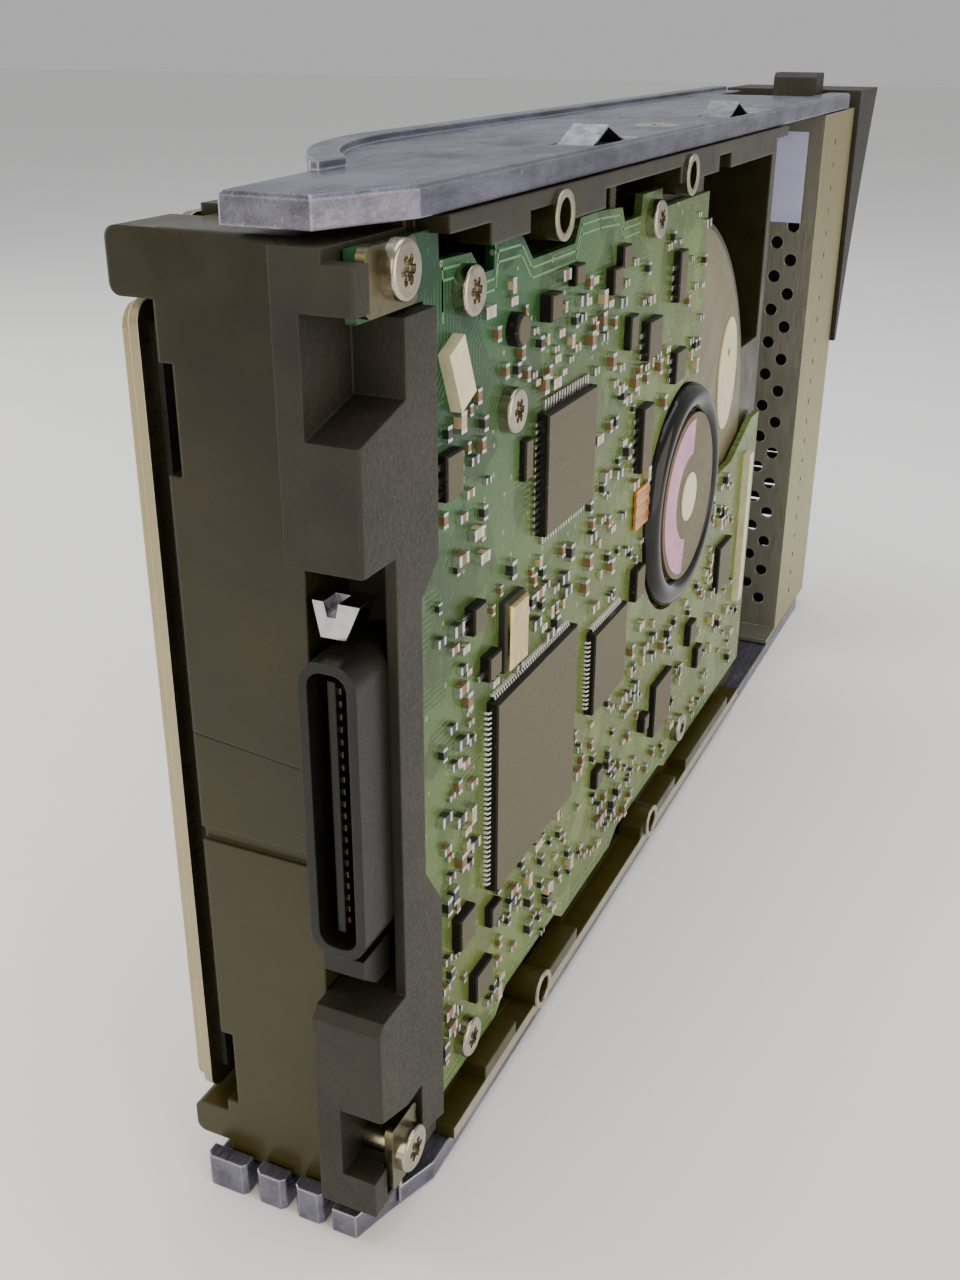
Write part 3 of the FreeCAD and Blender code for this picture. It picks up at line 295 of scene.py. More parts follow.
def casting_paint(name, paint):
    """Semi-gloss black paint with the machined boss faces and the lower rim left bare."""
    g = Graph(name)
    soft, sharp = g.edge(0.4 * MM)
    x, _, z = g.axes()
    near_face = g.maths("LESS_THAN", x, DATUM.x + BOSS_DEPTH)
    on_rim = g.maths("LESS_THAN", x, DATUM.x + RIM_DEPTH)
    low_edge = g.maths("LESS_THAN", z, DATUM.z - RIM_HEIGHT)
    bare = g.maths("MAXIMUM", near_face, g.maths("MULTIPLY", on_rim, low_edge))
    cloud = g.spread(g.noise(14 * MM, 4.0), 0.35, 0.7)
    orange = g.noise(0.7 * MM, 2.0)
    body = g.mix(cloud, tuple(paint), tuple(min(1.0, 2.2 * c) for c in paint))
    # painted warm light: the black paint turns brown towards the bottom
    body = g.mix(g.spread(z, DATUM.z + 40 * MM, DATUM.z - 40 * MM, 0.0, 0.7), body, (0.046, 0.036, 0.004))
    # painted highlight along sharp edges
    body = g.mix(g.maths("MULTIPLY", sharp, 0.25), body, (0.09, 0.08, 0.05))
    # painted warm light: the disc pan's face is painted olive-brown over the black paint
    in_disc = g.maths("LESS_THAN", spindle_reach(g), PAN_RADIUS)
    pan = g.maths("MULTIPLY", in_disc, g.maths("LESS_THAN", x, DATUM.x + PAN_DEPTH))
    body = g.mix(pan, body, g.mix(cloud, (0.120, 0.100, 0.048), (0.160, 0.135, 0.068)))
    metal = g.mix(g.noise(1.5 * MM), (0.36, 0.32, 0.22), (0.58, 0.53, 0.40))
    base = g.mix(bare, body, metal)
    rough = g.spread(g.noise(5 * MM, 4.0), 0.3, 0.7, 0.24, 0.40)
    material = g.finish(base, rough, g.bump(orange, 0.10, 0.05 * MM, soft), Specular_IOR_Level=0.35)
    g.feed(g.shader.inputs["Metallic"], bare)
    return material


def moulded(name, base, grain, depth=0.3, rough=(0.38, 0.58), edge=0.25 * MM):
    """Black plastic from a spark-eroded mould: a fine even texture, dull edges lightened by a painted
    highlight.
    """
    g = Graph(name)
    soft, sharp = g.edge(edge)
    texture = g.noise(grain, 4.0, 0.65)
    cloud = g.spread(g.noise(9 * MM, 3.0), 0.3, 0.7)
    body = g.mix(cloud, tuple(0.7 * c for c in base), tuple(min(1.0, 1.6 * c) for c in base))
    # painted highlight: sharp edges lighter than the body
    body = g.mix(g.maths("MULTIPLY", sharp, 0.35), body, tuple(min(1.0, 4.0 * c + 0.02) for c in base))
    gloss = g.spread(texture, 0.35, 0.65, rough[0], rough[1])
    return g.finish(body, gloss, g.bump(texture, depth, 0.10 * MM, soft), Specular_IOR_Level=0.32)


def sheet_metal(name, base, rough=(0.22, 0.40), stretch=(1.0, 0.05, 1.0), metallic=1.0, x_facing_light_tint=None):
    """Rolled sheet: fine lines along one way, faint clouding; the optional last colour is painted warm light
    on faces turned along X, such as the shield's flange; sharp edges get a painted highlight.
    """
    g = Graph(name)
    soft, sharp = g.edge(0.12 * MM)
    lines = g.noise(0.25 * MM, 3.0, 0.6, g.stretched(stretch))
    cloud = g.spread(g.noise(12 * MM, 4.0), 0.3, 0.72)
    body = g.mix(cloud, tuple(0.92 * c for c in base), tuple(min(1.0, 1.05 * c) for c in base))
    # painted warm light: faces turned along X take the tint given as the last argument
    if x_facing_light_tint:
        across = g.axes(g.add("ShaderNodeNewGeometry").outputs["True Normal"])[0]
        turned = g.spread(g.maths("ABSOLUTE", across), 0.6, 0.9)
        body = g.mix(turned, body, x_facing_light_tint)
    # painted highlight: sharp edges much brighter than the sheet
    body = g.mix(g.maths("MULTIPLY", sharp, 0.8), body, tuple(min(1.0, 2.6 * c) for c in base))
    gloss = g.spread(lines, 0.3, 0.7, rough[0], rough[1])
    return g.finish(body, gloss, g.bump(lines, 0.12, 0.04 * MM, soft), metallic)


def plated(name, base, rough=(0.12, 0.28), metallic=1.0):
    """Plated or polished small metal, slightly uneven."""
    g = Graph(name)
    soft, sharp = g.edge(0.1 * MM)
    smear = g.noise(1.6 * MM, 4.0)
    body = g.mix(g.spread(smear, 0.35, 0.7), tuple(0.72 * c for c in base), tuple(base))
    # painted highlight: sharp edges brighter than the body
    body = g.mix(g.maths("MULTIPLY", sharp, 0.3), body, tuple(min(1.0, 1.4 * c) for c in base))
    gloss = g.spread(smear, 0.3, 0.7, rough[0], rough[1])
    return g.finish(body, gloss, g.bump(g.noise(0.4 * MM), 0.08, 0.03 * MM, soft), metallic)


def flat_finish(name, base, second, size, rough=(0.4, 0.6), metallic=0.0, height=0.15, **values):
    """Two-tone finish for paper, film, rubber and ceramic."""
    g = Graph(name)
    cloud = g.spread(g.noise(size, 4.0), 0.35, 0.68)
    fine = g.noise(size / 8, 3.0)
    body = g.mix(cloud, tuple(base), tuple(second))
    gloss = g.spread(fine, 0.3, 0.7, rough[0], rough[1])
    return g.finish(body, gloss, g.bump(fine, height, 0.04 * MM), metallic, **values)


def chip_resin(name, base):
    """Chip package: satin top with faint scratches, painted light on the top and painted shade on the sides,
    a soft edge with a painted highlight.
    """
    g = Graph(name)
    soft, sharp = g.edge(0.12 * MM)
    facing = g.axes(g.add("ShaderNodeNewGeometry").outputs["True Normal"])[0]
    # painted light and shade: faces turned to -X painted lighter, all other faces painted darker
    top = g.spread(g.maths("MULTIPLY", facing, -1.0), 0.8, 0.95)
    grain = g.noise(0.22 * MM, 3.0, 0.7)
    scratch = g.spread(g.noise(0.5 * MM, 2.0, 0.4, g.stretched((1.0, 0.10, 1.4))), 0.66, 0.72)
    body = g.mix(top, tuple(0.30 * c for c in base), tuple(4.0 * c for c in base))
    body = g.mix(g.maths("MULTIPLY", scratch, 0.35), body, (0.16, 0.15, 0.11))
    # painted highlight along sharp edges
    body = g.mix(g.maths("MULTIPLY", sharp, 0.3), body, (0.12, 0.11, 0.08))
    gloss = g.spread(grain, 0.35, 0.65, 0.34, 0.52)
    return g.finish(body, gloss, g.bump(grain, 0.16, 0.03 * MM, soft), Specular_IOR_Level=0.22)


def solder_mask(name, mask, trace):
    """Lacquered board: regions of parallel traces in three directions, vias and bare pads; painted shade in
    the via holes and painted warm light that turns the green yellow towards lower y and z.
    """
    g = Graph(name)
    _, y, z = g.axes()
    cell = g.add("ShaderNodeTexVoronoi", {"Vector": g.object, "Scale": 1 / TRACE_REGION})
    pick = g.axes(cell.outputs["Color"])[0]
    along = g.maths("LESS_THAN", pick, 0.38)
    slant = g.maths("GREATER_THAN", pick, 0.72)
    diagonal = g.maths("MULTIPLY", g.maths("ADD", y, z), 0.7071)
    across = g.maths("MULTIPLY", g.maths("SUBTRACT", 1.0, along), g.maths("SUBTRACT", 1.0, slant))
    way = g.maths("ADD", g.maths("MULTIPLY", y, along), g.maths("MULTIPLY", z, across))
    way = g.maths("ADD", way, g.maths("MULTIPLY", diagonal, slant))
    wave = g.maths("PINGPONG", g.maths("DIVIDE", way, TRACE_PITCH), 0.5)
    lines = g.spread(wave, 0.28, 0.34)
    presence = g.spread(g.noise(4.5 * MM, 2.0), 0.46, 0.50)
    pour = g.spread(g.noise(9 * MM, 2.0, 0.4), 0.55, 0.57)
    tracks = g.maths("MAXIMUM", g.maths("MULTIPLY", lines, presence), g.maths("MULTIPLY", pour, 0.8))
    via = g.add("ShaderNodeTexVoronoi", {"Vector": g.object, "Scale": 1 / VIA_SPACING})
    distance = via.outputs["Distance"]
    chosen = g.maths("LESS_THAN", g.axes(via.outputs["Color"])[1], 0.55)
    pad = g.maths("MULTIPLY", g.spread(distance, 0.15, 0.12), chosen)
    # painted shade: the via holes are painted near-black
    hole = g.maths("MULTIPLY", g.spread(distance, 0.065, 0.05), chosen)
    # painted warm light: the lacquer and traces turn yellow towards lower y and z
    fall = g.maths("ADD", g.maths("MULTIPLY", z, WARM_LIGHT_WAY.z), g.maths("MULTIPLY", y, WARM_LIGHT_WAY.y))
    start = WARM_LIGHT_WAY.dot(WARM_LIGHT_FROM)
    lit = g.spread(fall, start, start + WARM_LIGHT_REACH)
    tint = g.mix(g.maths("MULTIPLY", lit, 0.8), tuple(mask), (0.110, 0.145, 0.026))
    trace = g.mix(g.maths("MULTIPLY", lit, 0.8), tuple(trace), (0.185, 0.235, 0.060))
    body = g.mix(g.maths("MULTIPLY", tracks, 0.8), tint, trace)
    body = g.mix(g.maths("MULTIPLY", pad, 0.7), body, (0.30, 0.36, 0.20))
    body = g.mix(hole, body, (0.01, 0.015, 0.008))
    height = g.maths("ADD", g.maths("MULTIPLY", tracks, 0.6), pad)
    rough = g.spread(g.noise(1.2 * MM), 0.3, 0.7, 0.22, 0.36)
    return g.finish(body, rough, g.bump(height, 0.25, 0.06 * MM), Specular_IOR_Level=0.25)


def wound_copper(name):
    """Enamelled copper windings: close rows of wire."""
    g = Graph(name)
    rows = g.maths("PINGPONG", g.maths("DIVIDE", g.axes()[0], 0.35 * MM), 0.5)
    # painted shade between the wires and painted highlight on their crowns
    shade = g.spread(rows, 0.0, 0.5)
    body = g.mix(shade, (0.20, 0.06, 0.02), (0.72, 0.27, 0.10))
    return g.finish(body, 0.32, g.bump(rows, 0.6, 0.12 * MM), 0.9)


def polished_disc(name):
    """Sputtered disc: mirror with faint texture lines round the spindle."""
    g = Graph(name)
    inputs = {"Scale": 4000.0, "Detail": 2.0, "W": spindle_reach(g)}
    rings = g.add("ShaderNodeTexNoise", inputs, noise_dimensions="1D").outputs["Fac"]
    body = g.mix(rings, (0.62, 0.63, 0.66), (0.72, 0.72, 0.74))
    return g.finish(body, g.spread(rings, 0.3, 0.7, 0.04, 0.08), g.bump(rings, 0.02, 0.01 * MM), 1.0)


def dress(names, material):
    """Gives CAD nodes a material."""
    for name in names:
        mesh = NODES[name].data
        mesh.materials.clear()
        mesh.materials.append(material)


# ---- shapes ------------------------------------------------------------------------------
def solids_of(name):
    """Boxes of the separate solids of a CAD node, largest first."""
    mesh = NODES[name].data
    points = np.empty(len(mesh.vertices) * 3)
    mesh.vertices.foreach_get("co", points)
    points = points.reshape(-1, 3)
    _, index = np.unique(np.round(points, 6), axis=0, return_inverse=True)
    index = index.reshape(-1)
    parent = list(range(index.max() + 1))

    def root(i):
        while parent[i] != i:
            parent[i] = parent[parent[i]]
            i = parent[i]
        return i

    for face in mesh.polygons:
        corners = [root(int(index[v])) for v in face.vertices]
        for corner in corners[1:]:
            parent[root(corner)] = root(corners[0])
    groups = {}
    for vertex, key in enumerate(index):
        groups.setdefault(root(int(key)), []).append(vertex)
    boxes = [(points[g].min(axis=0), points[g].max(axis=0)) for g in groups.values()]
    return sorted(boxes, key=lambda b: -float(np.prod(b[1] - b[0])))


def keep(piece, body):
    """A finished piece rides on a body."""
    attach(piece, body)
    return piece


def object_from(name, mesh):
    piece = bpy.data.objects.new(name, mesh)
    bpy.context.scene.collection.objects.link(piece)
    return piece


def object_from_faces(name, mesh, *materials):
    """Leaves a bmesh and makes it an object."""
    data = bpy.data.meshes.new(name)
    mesh.to_mesh(data)
    mesh.free()
    for material in materials:
        data.materials.append(material)
    return object_from(name, data)


def baked(piece):
    """Turns a piece's modifiers into a plain mesh."""
    graph = bpy.context.evaluated_depsgraph_get()
    mesh = bpy.data.meshes.new_from_object(piece.evaluated_get(graph))
    piece.modifiers.clear()
    piece.data = mesh
    return piece


def point_cloud(name, points):
    """Mesh of bare points with the turn about X and the size of what stands on each."""
    mesh = bpy.data.meshes.new(name)
    mesh.from_pydata([p[0] for p in points], [], [])
    turns = mesh.attributes.new("turn", "FLOAT", "POINT")
    turns.data.foreach_set("value", [p[1] for p in points])
    sizes = mesh.attributes.new("size", "FLOAT_VECTOR", "POINT")
    sizes.data.foreach_set("vector", [value for p in points for value in p[2]])
    return mesh


class PartTree:
    """Geometry nodes that stand one small shape on every point, with named inputs."""

    def __init__(self, name, inputs):
        self.group = bpy.data.node_groups.new(name, "GeometryNodeTree")
        face = self.group.interface
        face.new_socket("Geometry", in_out="INPUT", socket_type="NodeSocketGeometry")
        self.keys = {}
        for title, kind, default in inputs:
            socket = face.new_socket(title, in_out="INPUT", socket_type=kind)
            if default is not None:
                socket.default_value = default
            self.keys[title] = socket.identifier
        face.new_socket("Geometry", in_out="OUTPUT", socket_type="NodeSocketGeometry")
        self.source = self.group.nodes.new("NodeGroupInput")
        self.sink = self.group.nodes.new("NodeGroupOutput")

    def add(self, kind, links=None, **settings):
        made = self.group.nodes.new(kind)
        for key, value in settings.items():
            setattr(made, key, value)
        for key, value in (links or {}).items():
            if isinstance(value, bpy.types.NodeSocket):
                self.group.links.new(value, made.inputs[key])
            else:
                made.inputs[key].default_value = value
        return made

    def named(self, title):
        return self.source.outputs[title]

    def end(self, instances):
        """Realizes the instances, sets the material and leaves the tree."""
        real = self.add("GeometryNodeRealizeInstances", {"Geometry": instances})
        painted = self.add("GeometryNodeSetMaterial",
                           {"Geometry": real.outputs["Geometry"], "Material": self.named("Material")})
        self.group.links.new(painted.outputs["Geometry"], self.sink.inputs["Geometry"])

    def on(self, piece, values):
        modifier = piece.modifiers.new(self.group.name, "NODES")
        modifier.node_group = self.group
        for title, value in values.items():
            modifier[self.keys[title]] = value
        return piece


def block_tree():
    """A block on every point, sized and turned by the point's own attributes."""
    t = PartTree("small_blocks", [
        ("Growth", "NodeSocketFloat", 1.0), ("Material", "NodeSocketMaterial", None)])
    cube = t.add("GeometryNodeMeshCube", {"Size": (1.0, 1.0, 1.0)})
    size = t.add("GeometryNodeInputNamedAttribute", {"Name": "size"}, data_type="FLOAT_VECTOR")
    turn = t.add("GeometryNodeInputNamedAttribute", {"Name": "turn"}, data_type="FLOAT")
    angle = t.add("ShaderNodeCombineXYZ", {"X": turn.outputs["Attribute"]})
    grown = t.add("ShaderNodeVectorMath", {0: size.outputs["Attribute"]}, operation="SCALE")
    t.group.links.new(t.named("Growth"), grown.inputs["Scale"])
    placed = t.add("GeometryNodeInstanceOnPoints", {
        "Points": t.named("Geometry"), "Instance": cube.outputs["Mesh"],
        "Rotation": angle.outputs["Vector"], "Scale": grown.outputs["Vector"]})
    t.end(placed.outputs["Instances"])
    return t


def dome_tree():
    """A low dome on every point, such as a solder joint."""
    t = PartTree("solder_domes", [
        ("Flatness", "NodeSocketFloat", 0.5), ("Material", "NodeSocketMaterial", None)])
    ball = t.add("GeometryNodeMeshUVSphere", {"Segments": 10, "Rings": 6, "Radius": 0.5})
    size = t.add("GeometryNodeInputNamedAttribute", {"Name": "size"}, data_type="FLOAT_VECTOR")
    squash = t.add("ShaderNodeCombineXYZ", {"X": t.named("Flatness"), "Y": 1.0, "Z": 1.0})
    shape = t.add("ShaderNodeVectorMath", {0: size.outputs["Attribute"], 1: squash.outputs["Vector"]},
                  operation="MULTIPLY")
    placed = t.add("GeometryNodeInstanceOnPoints", {
        "Points": t.named("Geometry"), "Instance": ball.outputs["Mesh"], "Scale": shape.outputs["Vector"]})
    t.end(placed.outputs["Instances"])
    return t


def leg_tree():
    """A row of bent legs from a start, by a step, each with its foot away from the package."""
    t = PartTree("leg_rows", [
        ("Count", "NodeSocketInt", 10), ("Start", "NodeSocketVector", None),
        ("Step", "NodeSocketVector", None), ("Shoulder", "NodeSocketVector", None),
        ("Foot", "NodeSocketVector", None),
        ("Foot offset", "NodeSocketVector", None), ("Material", "NodeSocketMaterial", None)])
    line = t.add("GeometryNodeMeshLine", {
        "Count": t.named("Count"), "Start Location": t.named("Start"), "Offset": t.named("Step")},
        mode="OFFSET")
    shoulder = t.add("GeometryNodeMeshCube", {"Size": t.named("Shoulder")})
    foot = t.add("GeometryNodeMeshCube", {"Size": t.named("Foot")})
    moved = t.add("GeometryNodeTransform", {
        "Geometry": foot.outputs["Mesh"], "Translation": t.named("Foot offset")})
    both = t.add("GeometryNodeJoinGeometry")
    for part in (shoulder.outputs["Mesh"], moved.outputs["Geometry"]):
        t.group.links.new(part, both.inputs["Geometry"])
    placed = t.add("GeometryNodeInstanceOnPoints", {
        "Points": line.outputs["Mesh"], "Instance": both.outputs["Geometry"]})
    t.end(placed.outputs["Instances"])
    return t


def joined(name, pieces):
    """One object from several plain meshes."""
    mesh = bmesh.new()
    materials = []
    for piece in pieces:
        start = len(mesh.faces)
        mesh.from_mesh(piece.data)
        mesh.faces.ensure_lookup_table()
        for material in piece.data.materials:
            if material not in materials:
                materials.append(material)
        for face in mesh.faces[start:]:
            face.material_index = materials.index(piece.data.materials[0])
    for piece in pieces:
        bpy.data.objects.remove(piece)
    return object_from_faces(name, mesh, *materials)


class BoardSurvey:
    """Finds free places on the board by dropping rays on the CAD pieces."""

    def __init__(self):
        vertices, faces = [], []
        for name in ("circuit_board", "logic_chips", "servo_chip", "small_chips", "chip_legs",
                     "oscillator_base", "shock_sensor", "power_parts", "board_screws", "motor_ring",
                     "motor_flex", "flex_socket", "rear_bracket", "earth_lugs", "lug_screws", "base_casting"):
            mesh = NODES[name].data
            shift = len(vertices)
            vertices += [v.co.copy() for v in mesh.vertices]
            faces += [[i + shift for i in p.vertices] for p in mesh.polygons]
        self.tree = BVHTree.FromPolygons(vertices, faces)
        self.taken = []

    def free(self, y, z, reach, gap):
        """True if the board is bare round a point and no earlier part is near."""
        centre = place(0, y, z)
        if any(abs(centre.y - a) < gap + r and abs(centre.z - b) < gap + r for a, b, r in self.taken):
            return False
        for dy in (-reach, 0, reach):
            for dz in (-reach, 0, reach):
                origin = Vector((BOARD_FACE - 30 * MM, centre.y + dy, centre.z + dz))
                hit = self.tree.ray_cast(origin, Vector((1, 0, 0)))[0]
                if hit is None or abs(hit.x - BOARD_FACE) > 0.02 * MM:
                    return False
        return True

    def take(self, y, z, reach):
        centre = place(0, y, z)
        self.taken.append((centre.y, centre.z, reach))


# ---- operators ---------------------------------------------------------------------------
class DISK_OT_paint_carrier(bpy.types.Operator):
    """Finishes the carrier's rails, springs, shield, bezel and lever"""
    bl_idname = "disk.paint_carrier"
    bl_label = "Paint Carrier"

    def execute(self, context):
        s = context.scene.disk_finish
        bright = plated("spring_steel", (0.50, 0.50, 0.54), (0.16, 0.30))
        dress(("top_rail", "bottom_rail"), cast_metal("rail_cast", s.rail))
        dress(("ground_springs", "button_spring"), bright)
        dress(("side_screws", "lever_pin"), plated("screw_nickel", (0.50, 0.48, 0.44)))
        # the last colour is painted warm light on the shield's faces turned along X
        dress(("shield_cage",), sheet_metal("shield_plating", s.shield, (0.30, 0.5), (1.0, 1.0, 0.06), 0.8,
                                            (0.33, 0.29, 0.13)))
        dress(("front_bezel", "handle_lever"), moulded("bezel_black", s.moulding, s.grain))
        dress(("release_button",), moulded("button_grey", (0.10, 0.105, 0.12), s.grain))
        dress(("status_lenses",), flat_finish("lens_clear", (0.55, 0.75, 0.55), (0.65, 0.85, 0.62), 2 * MM,
                                              (0.08, 0.14), 0.0, 0.02, Transmission_Weight=0.6))
        dress(("shield_label",), flat_finish("label_paper", (0.33, 0.34, 0.50), (0.40, 0.41, 0.58), 6 * MM,
                                             (0.45, 0.6)))
        return {"FINISHED"}


class DISK_OT_paint_shell(bpy.types.Operator):
    """Finishes the drive's casting, cover and connector end"""
    bl_idname = "disk.paint_shell"
    bl_label = "Paint Drive Shell"

    def execute(self, context):
        s = context.scene.disk_finish
        dress(("base_casting", "motor_base"), casting_paint("casting_black", s.paint))
        dress(("top_cover", "damping_plate"), sheet_metal("cover_steel", s.steel, (0.25, 0.42)))
        dress(("cover_gasket", "insulator_pad", "crash_stops"),
              flat_finish("seal_rubber", (0.010, 0.010, 0.010), (0.022, 0.021, 0.02), 3 * MM, (0.6, 0.8)))
        dress(("rear_bracket",), moulded("bracket_black", s.moulding, s.grain, 0.45))
        dress(("connector_shroud", "key_block"),
              moulded("connector_black", (0.007, 0.0065, 0.005), 0.25 * MM, 0.12, (0.30, 0.45)))
        dress(("connector_contacts",), plated("contact_tin", (0.30, 0.25, 0.15), (0.3, 0.5)))
        dress(("guide_tab",), plated("tab_nickel", (0.56, 0.56, 0.60), (0.08, 0.22)))
        dress(("earth_lugs",), plated("lug_zinc", (0.20, 0.18, 0.11), (0.25, 0.42)))
        dress(("lug_screws", "cover_screws", "board_screws"),
              plated("screw_bright", (0.50, 0.45, 0.35), (0.14, 0.30)))
        dress(("seal_sticker",), flat_finish("seal_cream", s.cream, tuple(0.86 * c for c in s.cream), 5 * MM))
        return {"FINISHED"}


class DISK_OT_paint_board(bpy.types.Operator):
    """Finishes the circuit board, its chips and the motor's face"""
    bl_idname = "disk.paint_board"
    bl_label = "Paint Circuit Board"

    def execute(self, context):
        s = context.scene.disk_finish
        resin = chip_resin("chip_resin", s.resin)
        cream = flat_finish("cream_ceramic", s.cream, tuple(0.8 * c for c in s.cream), 2 * MM, (0.3, 0.45))
        dress(("circuit_board",), solder_mask("board_green", s.mask, s.trace))
        dress(("logic_chips", "servo_chip", "small_chips", "power_parts"), resin)
        dress(("chip_legs",), plated("leg_tin", (0.62, 0.61, 0.54), (0.18, 0.35)))
        dress(("oscillator_base",), moulded("ceramic_dark", (0.03, 0.028, 0.022), 0.2 * MM, 0.1))
        dress(("oscillator_lid",), plated("lid_gold", (0.78, 0.62, 0.30), (0.14, 0.28)))
        dress(("shock_sensor", "flex_socket"), cream)
        dress(("motor_ring",), flat_finish("ring_gloss", (0.006, 0.006, 0.006), (0.012, 0.012, 0.011), 4 * MM,
                                           (0.10, 0.16), 0.0, 0.02, Specular_IOR_Level=0.30))
        dress(("motor_cap",), flat_finish("cap_dark", (0.105, 0.085, 0.042), (0.130, 0.106, 0.055), 6 * MM,
                                          (0.35, 0.5), Specular_IOR_Level=0.25))
        dress(("motor_flex",),
              flat_finish("flex_amber", (0.55, 0.20, 0.04), (0.66, 0.28, 0.07), 2 * MM, (0.2, 0.3)))
        return {"FINISHED"}


class DISK_OT_paint_mechanism(bpy.types.Operator):
    """Finishes the discs, spindle, actuator and magnets inside"""
    bl_idname = "disk.paint_mechanism"
    bl_label = "Paint Mechanism"

    def execute(self, context):
        alloy = sheet_metal("machined_alloy", (0.66, 0.66, 0.68), (0.2, 0.34), (1.0, 1.0, 0.2))
        dress(("spindle_hub", "disc_spacers", "disc_clamp", "arm_block"), alloy)
        dress(("platters",), polished_disc("disc_mirror"))
        dress(("spindle_shaft", "pivot_bearing", "magnet_posts", "clamp_screws"),
              plated("ground_steel", (0.62, 0.62, 0.63)))
        dress(("magnet_plates", "voice_magnets"), plated("magnet_nickel", (0.66, 0.65, 0.62)))
        dress(("head_suspensions",), plated("beam_steel", (0.74, 0.74, 0.74), (0.08, 0.2)))
        dress(("motor_stator", "voice_coil"), wound_copper("wound_copper"))
        dress(("breather_filter", "recirculation_filter"),
              flat_finish("filter_felt", (0.72, 0.72, 0.70), (0.82, 0.82, 0.80), 0.8 * MM,
                          (0.8, 0.95), 0.0, 0.6))
        dress(("flex_bracket",), moulded("socket_dark", (0.03, 0.028, 0.024), 0.3 * MM))
        return {"FINISHED"}


# areas of the board that hold many small parts: y range, z range and how many
PART_ZONES = (
    ((17.5, 25.5), (-40.0, 12.0), 46), ((14.0, 25.0), (14.0, 42.0), 20),
    ((-10.0, 14.5), (0.0, 12.5), 26), ((-16.0, 12.0), (28.0, 42.0), 34),
    ((-31.0, -15.0), (-5.0, 42.0), 46), ((-40.0, -31.0), (-42.0, 42.0), 42),
    ((-12.0, 15.0), (-42.0, -25.5), 40), ((-33.0, -12.0), (-42.0, -17.5), 36),
    ((-60.0, -40.0), (-42.0, 42.0), 40), ((-100.0, -60.0), (-42.0, -3.0), 56))
TRIES_PER_PART = 6


def part_layout(settings, survey):
    """Seeded layout of small two-ended parts: (y, z, along y, length scale, kind)."""
    chance = random.Random(settings.seed)
    layout = []
    for (y0, y1), (z0, z1), count in PART_ZONES:
        for _ in range(count * TRIES_PER_PART):
            if count == 0:
                break
            y = round(chance.uniform(y0, y1) / PART_GRID) * PART_GRID
            z = round(chance.uniform(z0, z1) / PART_GRID) * PART_GRID
            length = chance.choice((0.75, 1.0, 1.0, 1.35))
            reach = PART_REACH * length * settings.part_length
            along = chance.random() < 0.5
            kind = chance.choice(("brown", "brown", "black", "tan", "black"))
            if survey.free(y, z, reach, PART_GAP):
                survey.take(y, z, reach)
                layout.append((y, z, along, length, kind))
                count -= 1
    return layout


class DISK_OT_add_small_parts(bpy.types.Operator):
    """Stands resistors and capacitors with bright ends on the board"""
    bl_idname = "disk.add_small_parts"
    bl_label = "Add Small Parts"

    def execute(self, context):
        s = context.scene.disk_board
        survey = BoardSurvey()
        layout = part_layout(s, survey)
        tree = block_tree()
        mottle = 1.2 * MM
        finishes = {
            "brown": flat_finish(
                "capacitor_brown", (0.16, 0.09, 0.04), (0.22, 0.13, 0.06), mottle, (0.3, 0.45)),
            "black": flat_finish(
                "resistor_black", (0.012, 0.012, 0.012), (0.03, 0.028, 0.024), mottle, (0.3, 0.5)),
            "tan": flat_finish("capacitor_tan", (0.42, 0.33, 0.19), (0.50, 0.40, 0.24), mottle, (0.3, 0.45))}
        solder = plated("solder_bright", (0.84, 0.85, 0.84), (0.12, 0.3))
        bodies = {kind: [] for kind in finishes}
        ends = []
        for y, z, along, length, kind in layout:
            long_side = length * s.part_length
            wide = PART_WIDTH * long_side
            high = PART_HEIGHT * long_side
            centre = Vector((BOARD_FACE - high / 2, place(0, y, z).y, place(0, y, z).z))
            turn = 0.0 if along else math.pi / 2
            bodies[kind].append((centre, turn, (high, BODY_LENGTH * long_side, wide)))
            axis = Vector((0, 1, 0)) if along else Vector((0, 0, 1))
            for side in (-1, 1):
                at = centre + axis * side * END_MIDDLE * long_side + Vector((-END_LIFT, 0, 0))
                ends.append((at, turn, (high + END_TALLER, END_LENGTH * long_side, wide + END_WIDER)))
        for kind, points in bodies.items():
            piece = object_from("parts_" + kind, point_cloud("parts_" + kind, points))
            tree.on(piece, {"Material": finishes[kind]})
            keep(baked(piece), ROOT)
        piece = object_from("part_ends", point_cloud("part_ends", ends))
        tree.on(piece, {"Material": solder})
        keep(baked(piece), ROOT)
        return {"FINISHED"}


class DISK_OT_add_solder(bpy.types.Operator):
    """Lays the rows of solder joints along the connector's edge of the board"""
    bl_idname = "disk.add_solder"
    bl_label = "Add Solder Joints"

    def execute(self, context):
        tree = dome_tree()
        points = []
        for column, y in enumerate(JOINT_COLUMNS):
            for step in range(JOINTS):
                z = JOINT_START + JOINT_PITCH * step + JOINT_STAGGER * column
                points.append((place(JOINT_DEPTH, y, z), 0.0, JOINT_SIZE))
        piece = object_from("edge_joints", point_cloud("edge_joints", points))
        tree.on(piece, {"Flatness": 0.7, "Material": bpy.data.materials["solder_bright"]})
        keep(baked(piece), ROOT)
        return {"FINISHED"}


def laid(x, across, along, along_z):
    """A vector from its parts across and along a row of legs."""
    return (x, across, along) if along_z else (x, along, across)


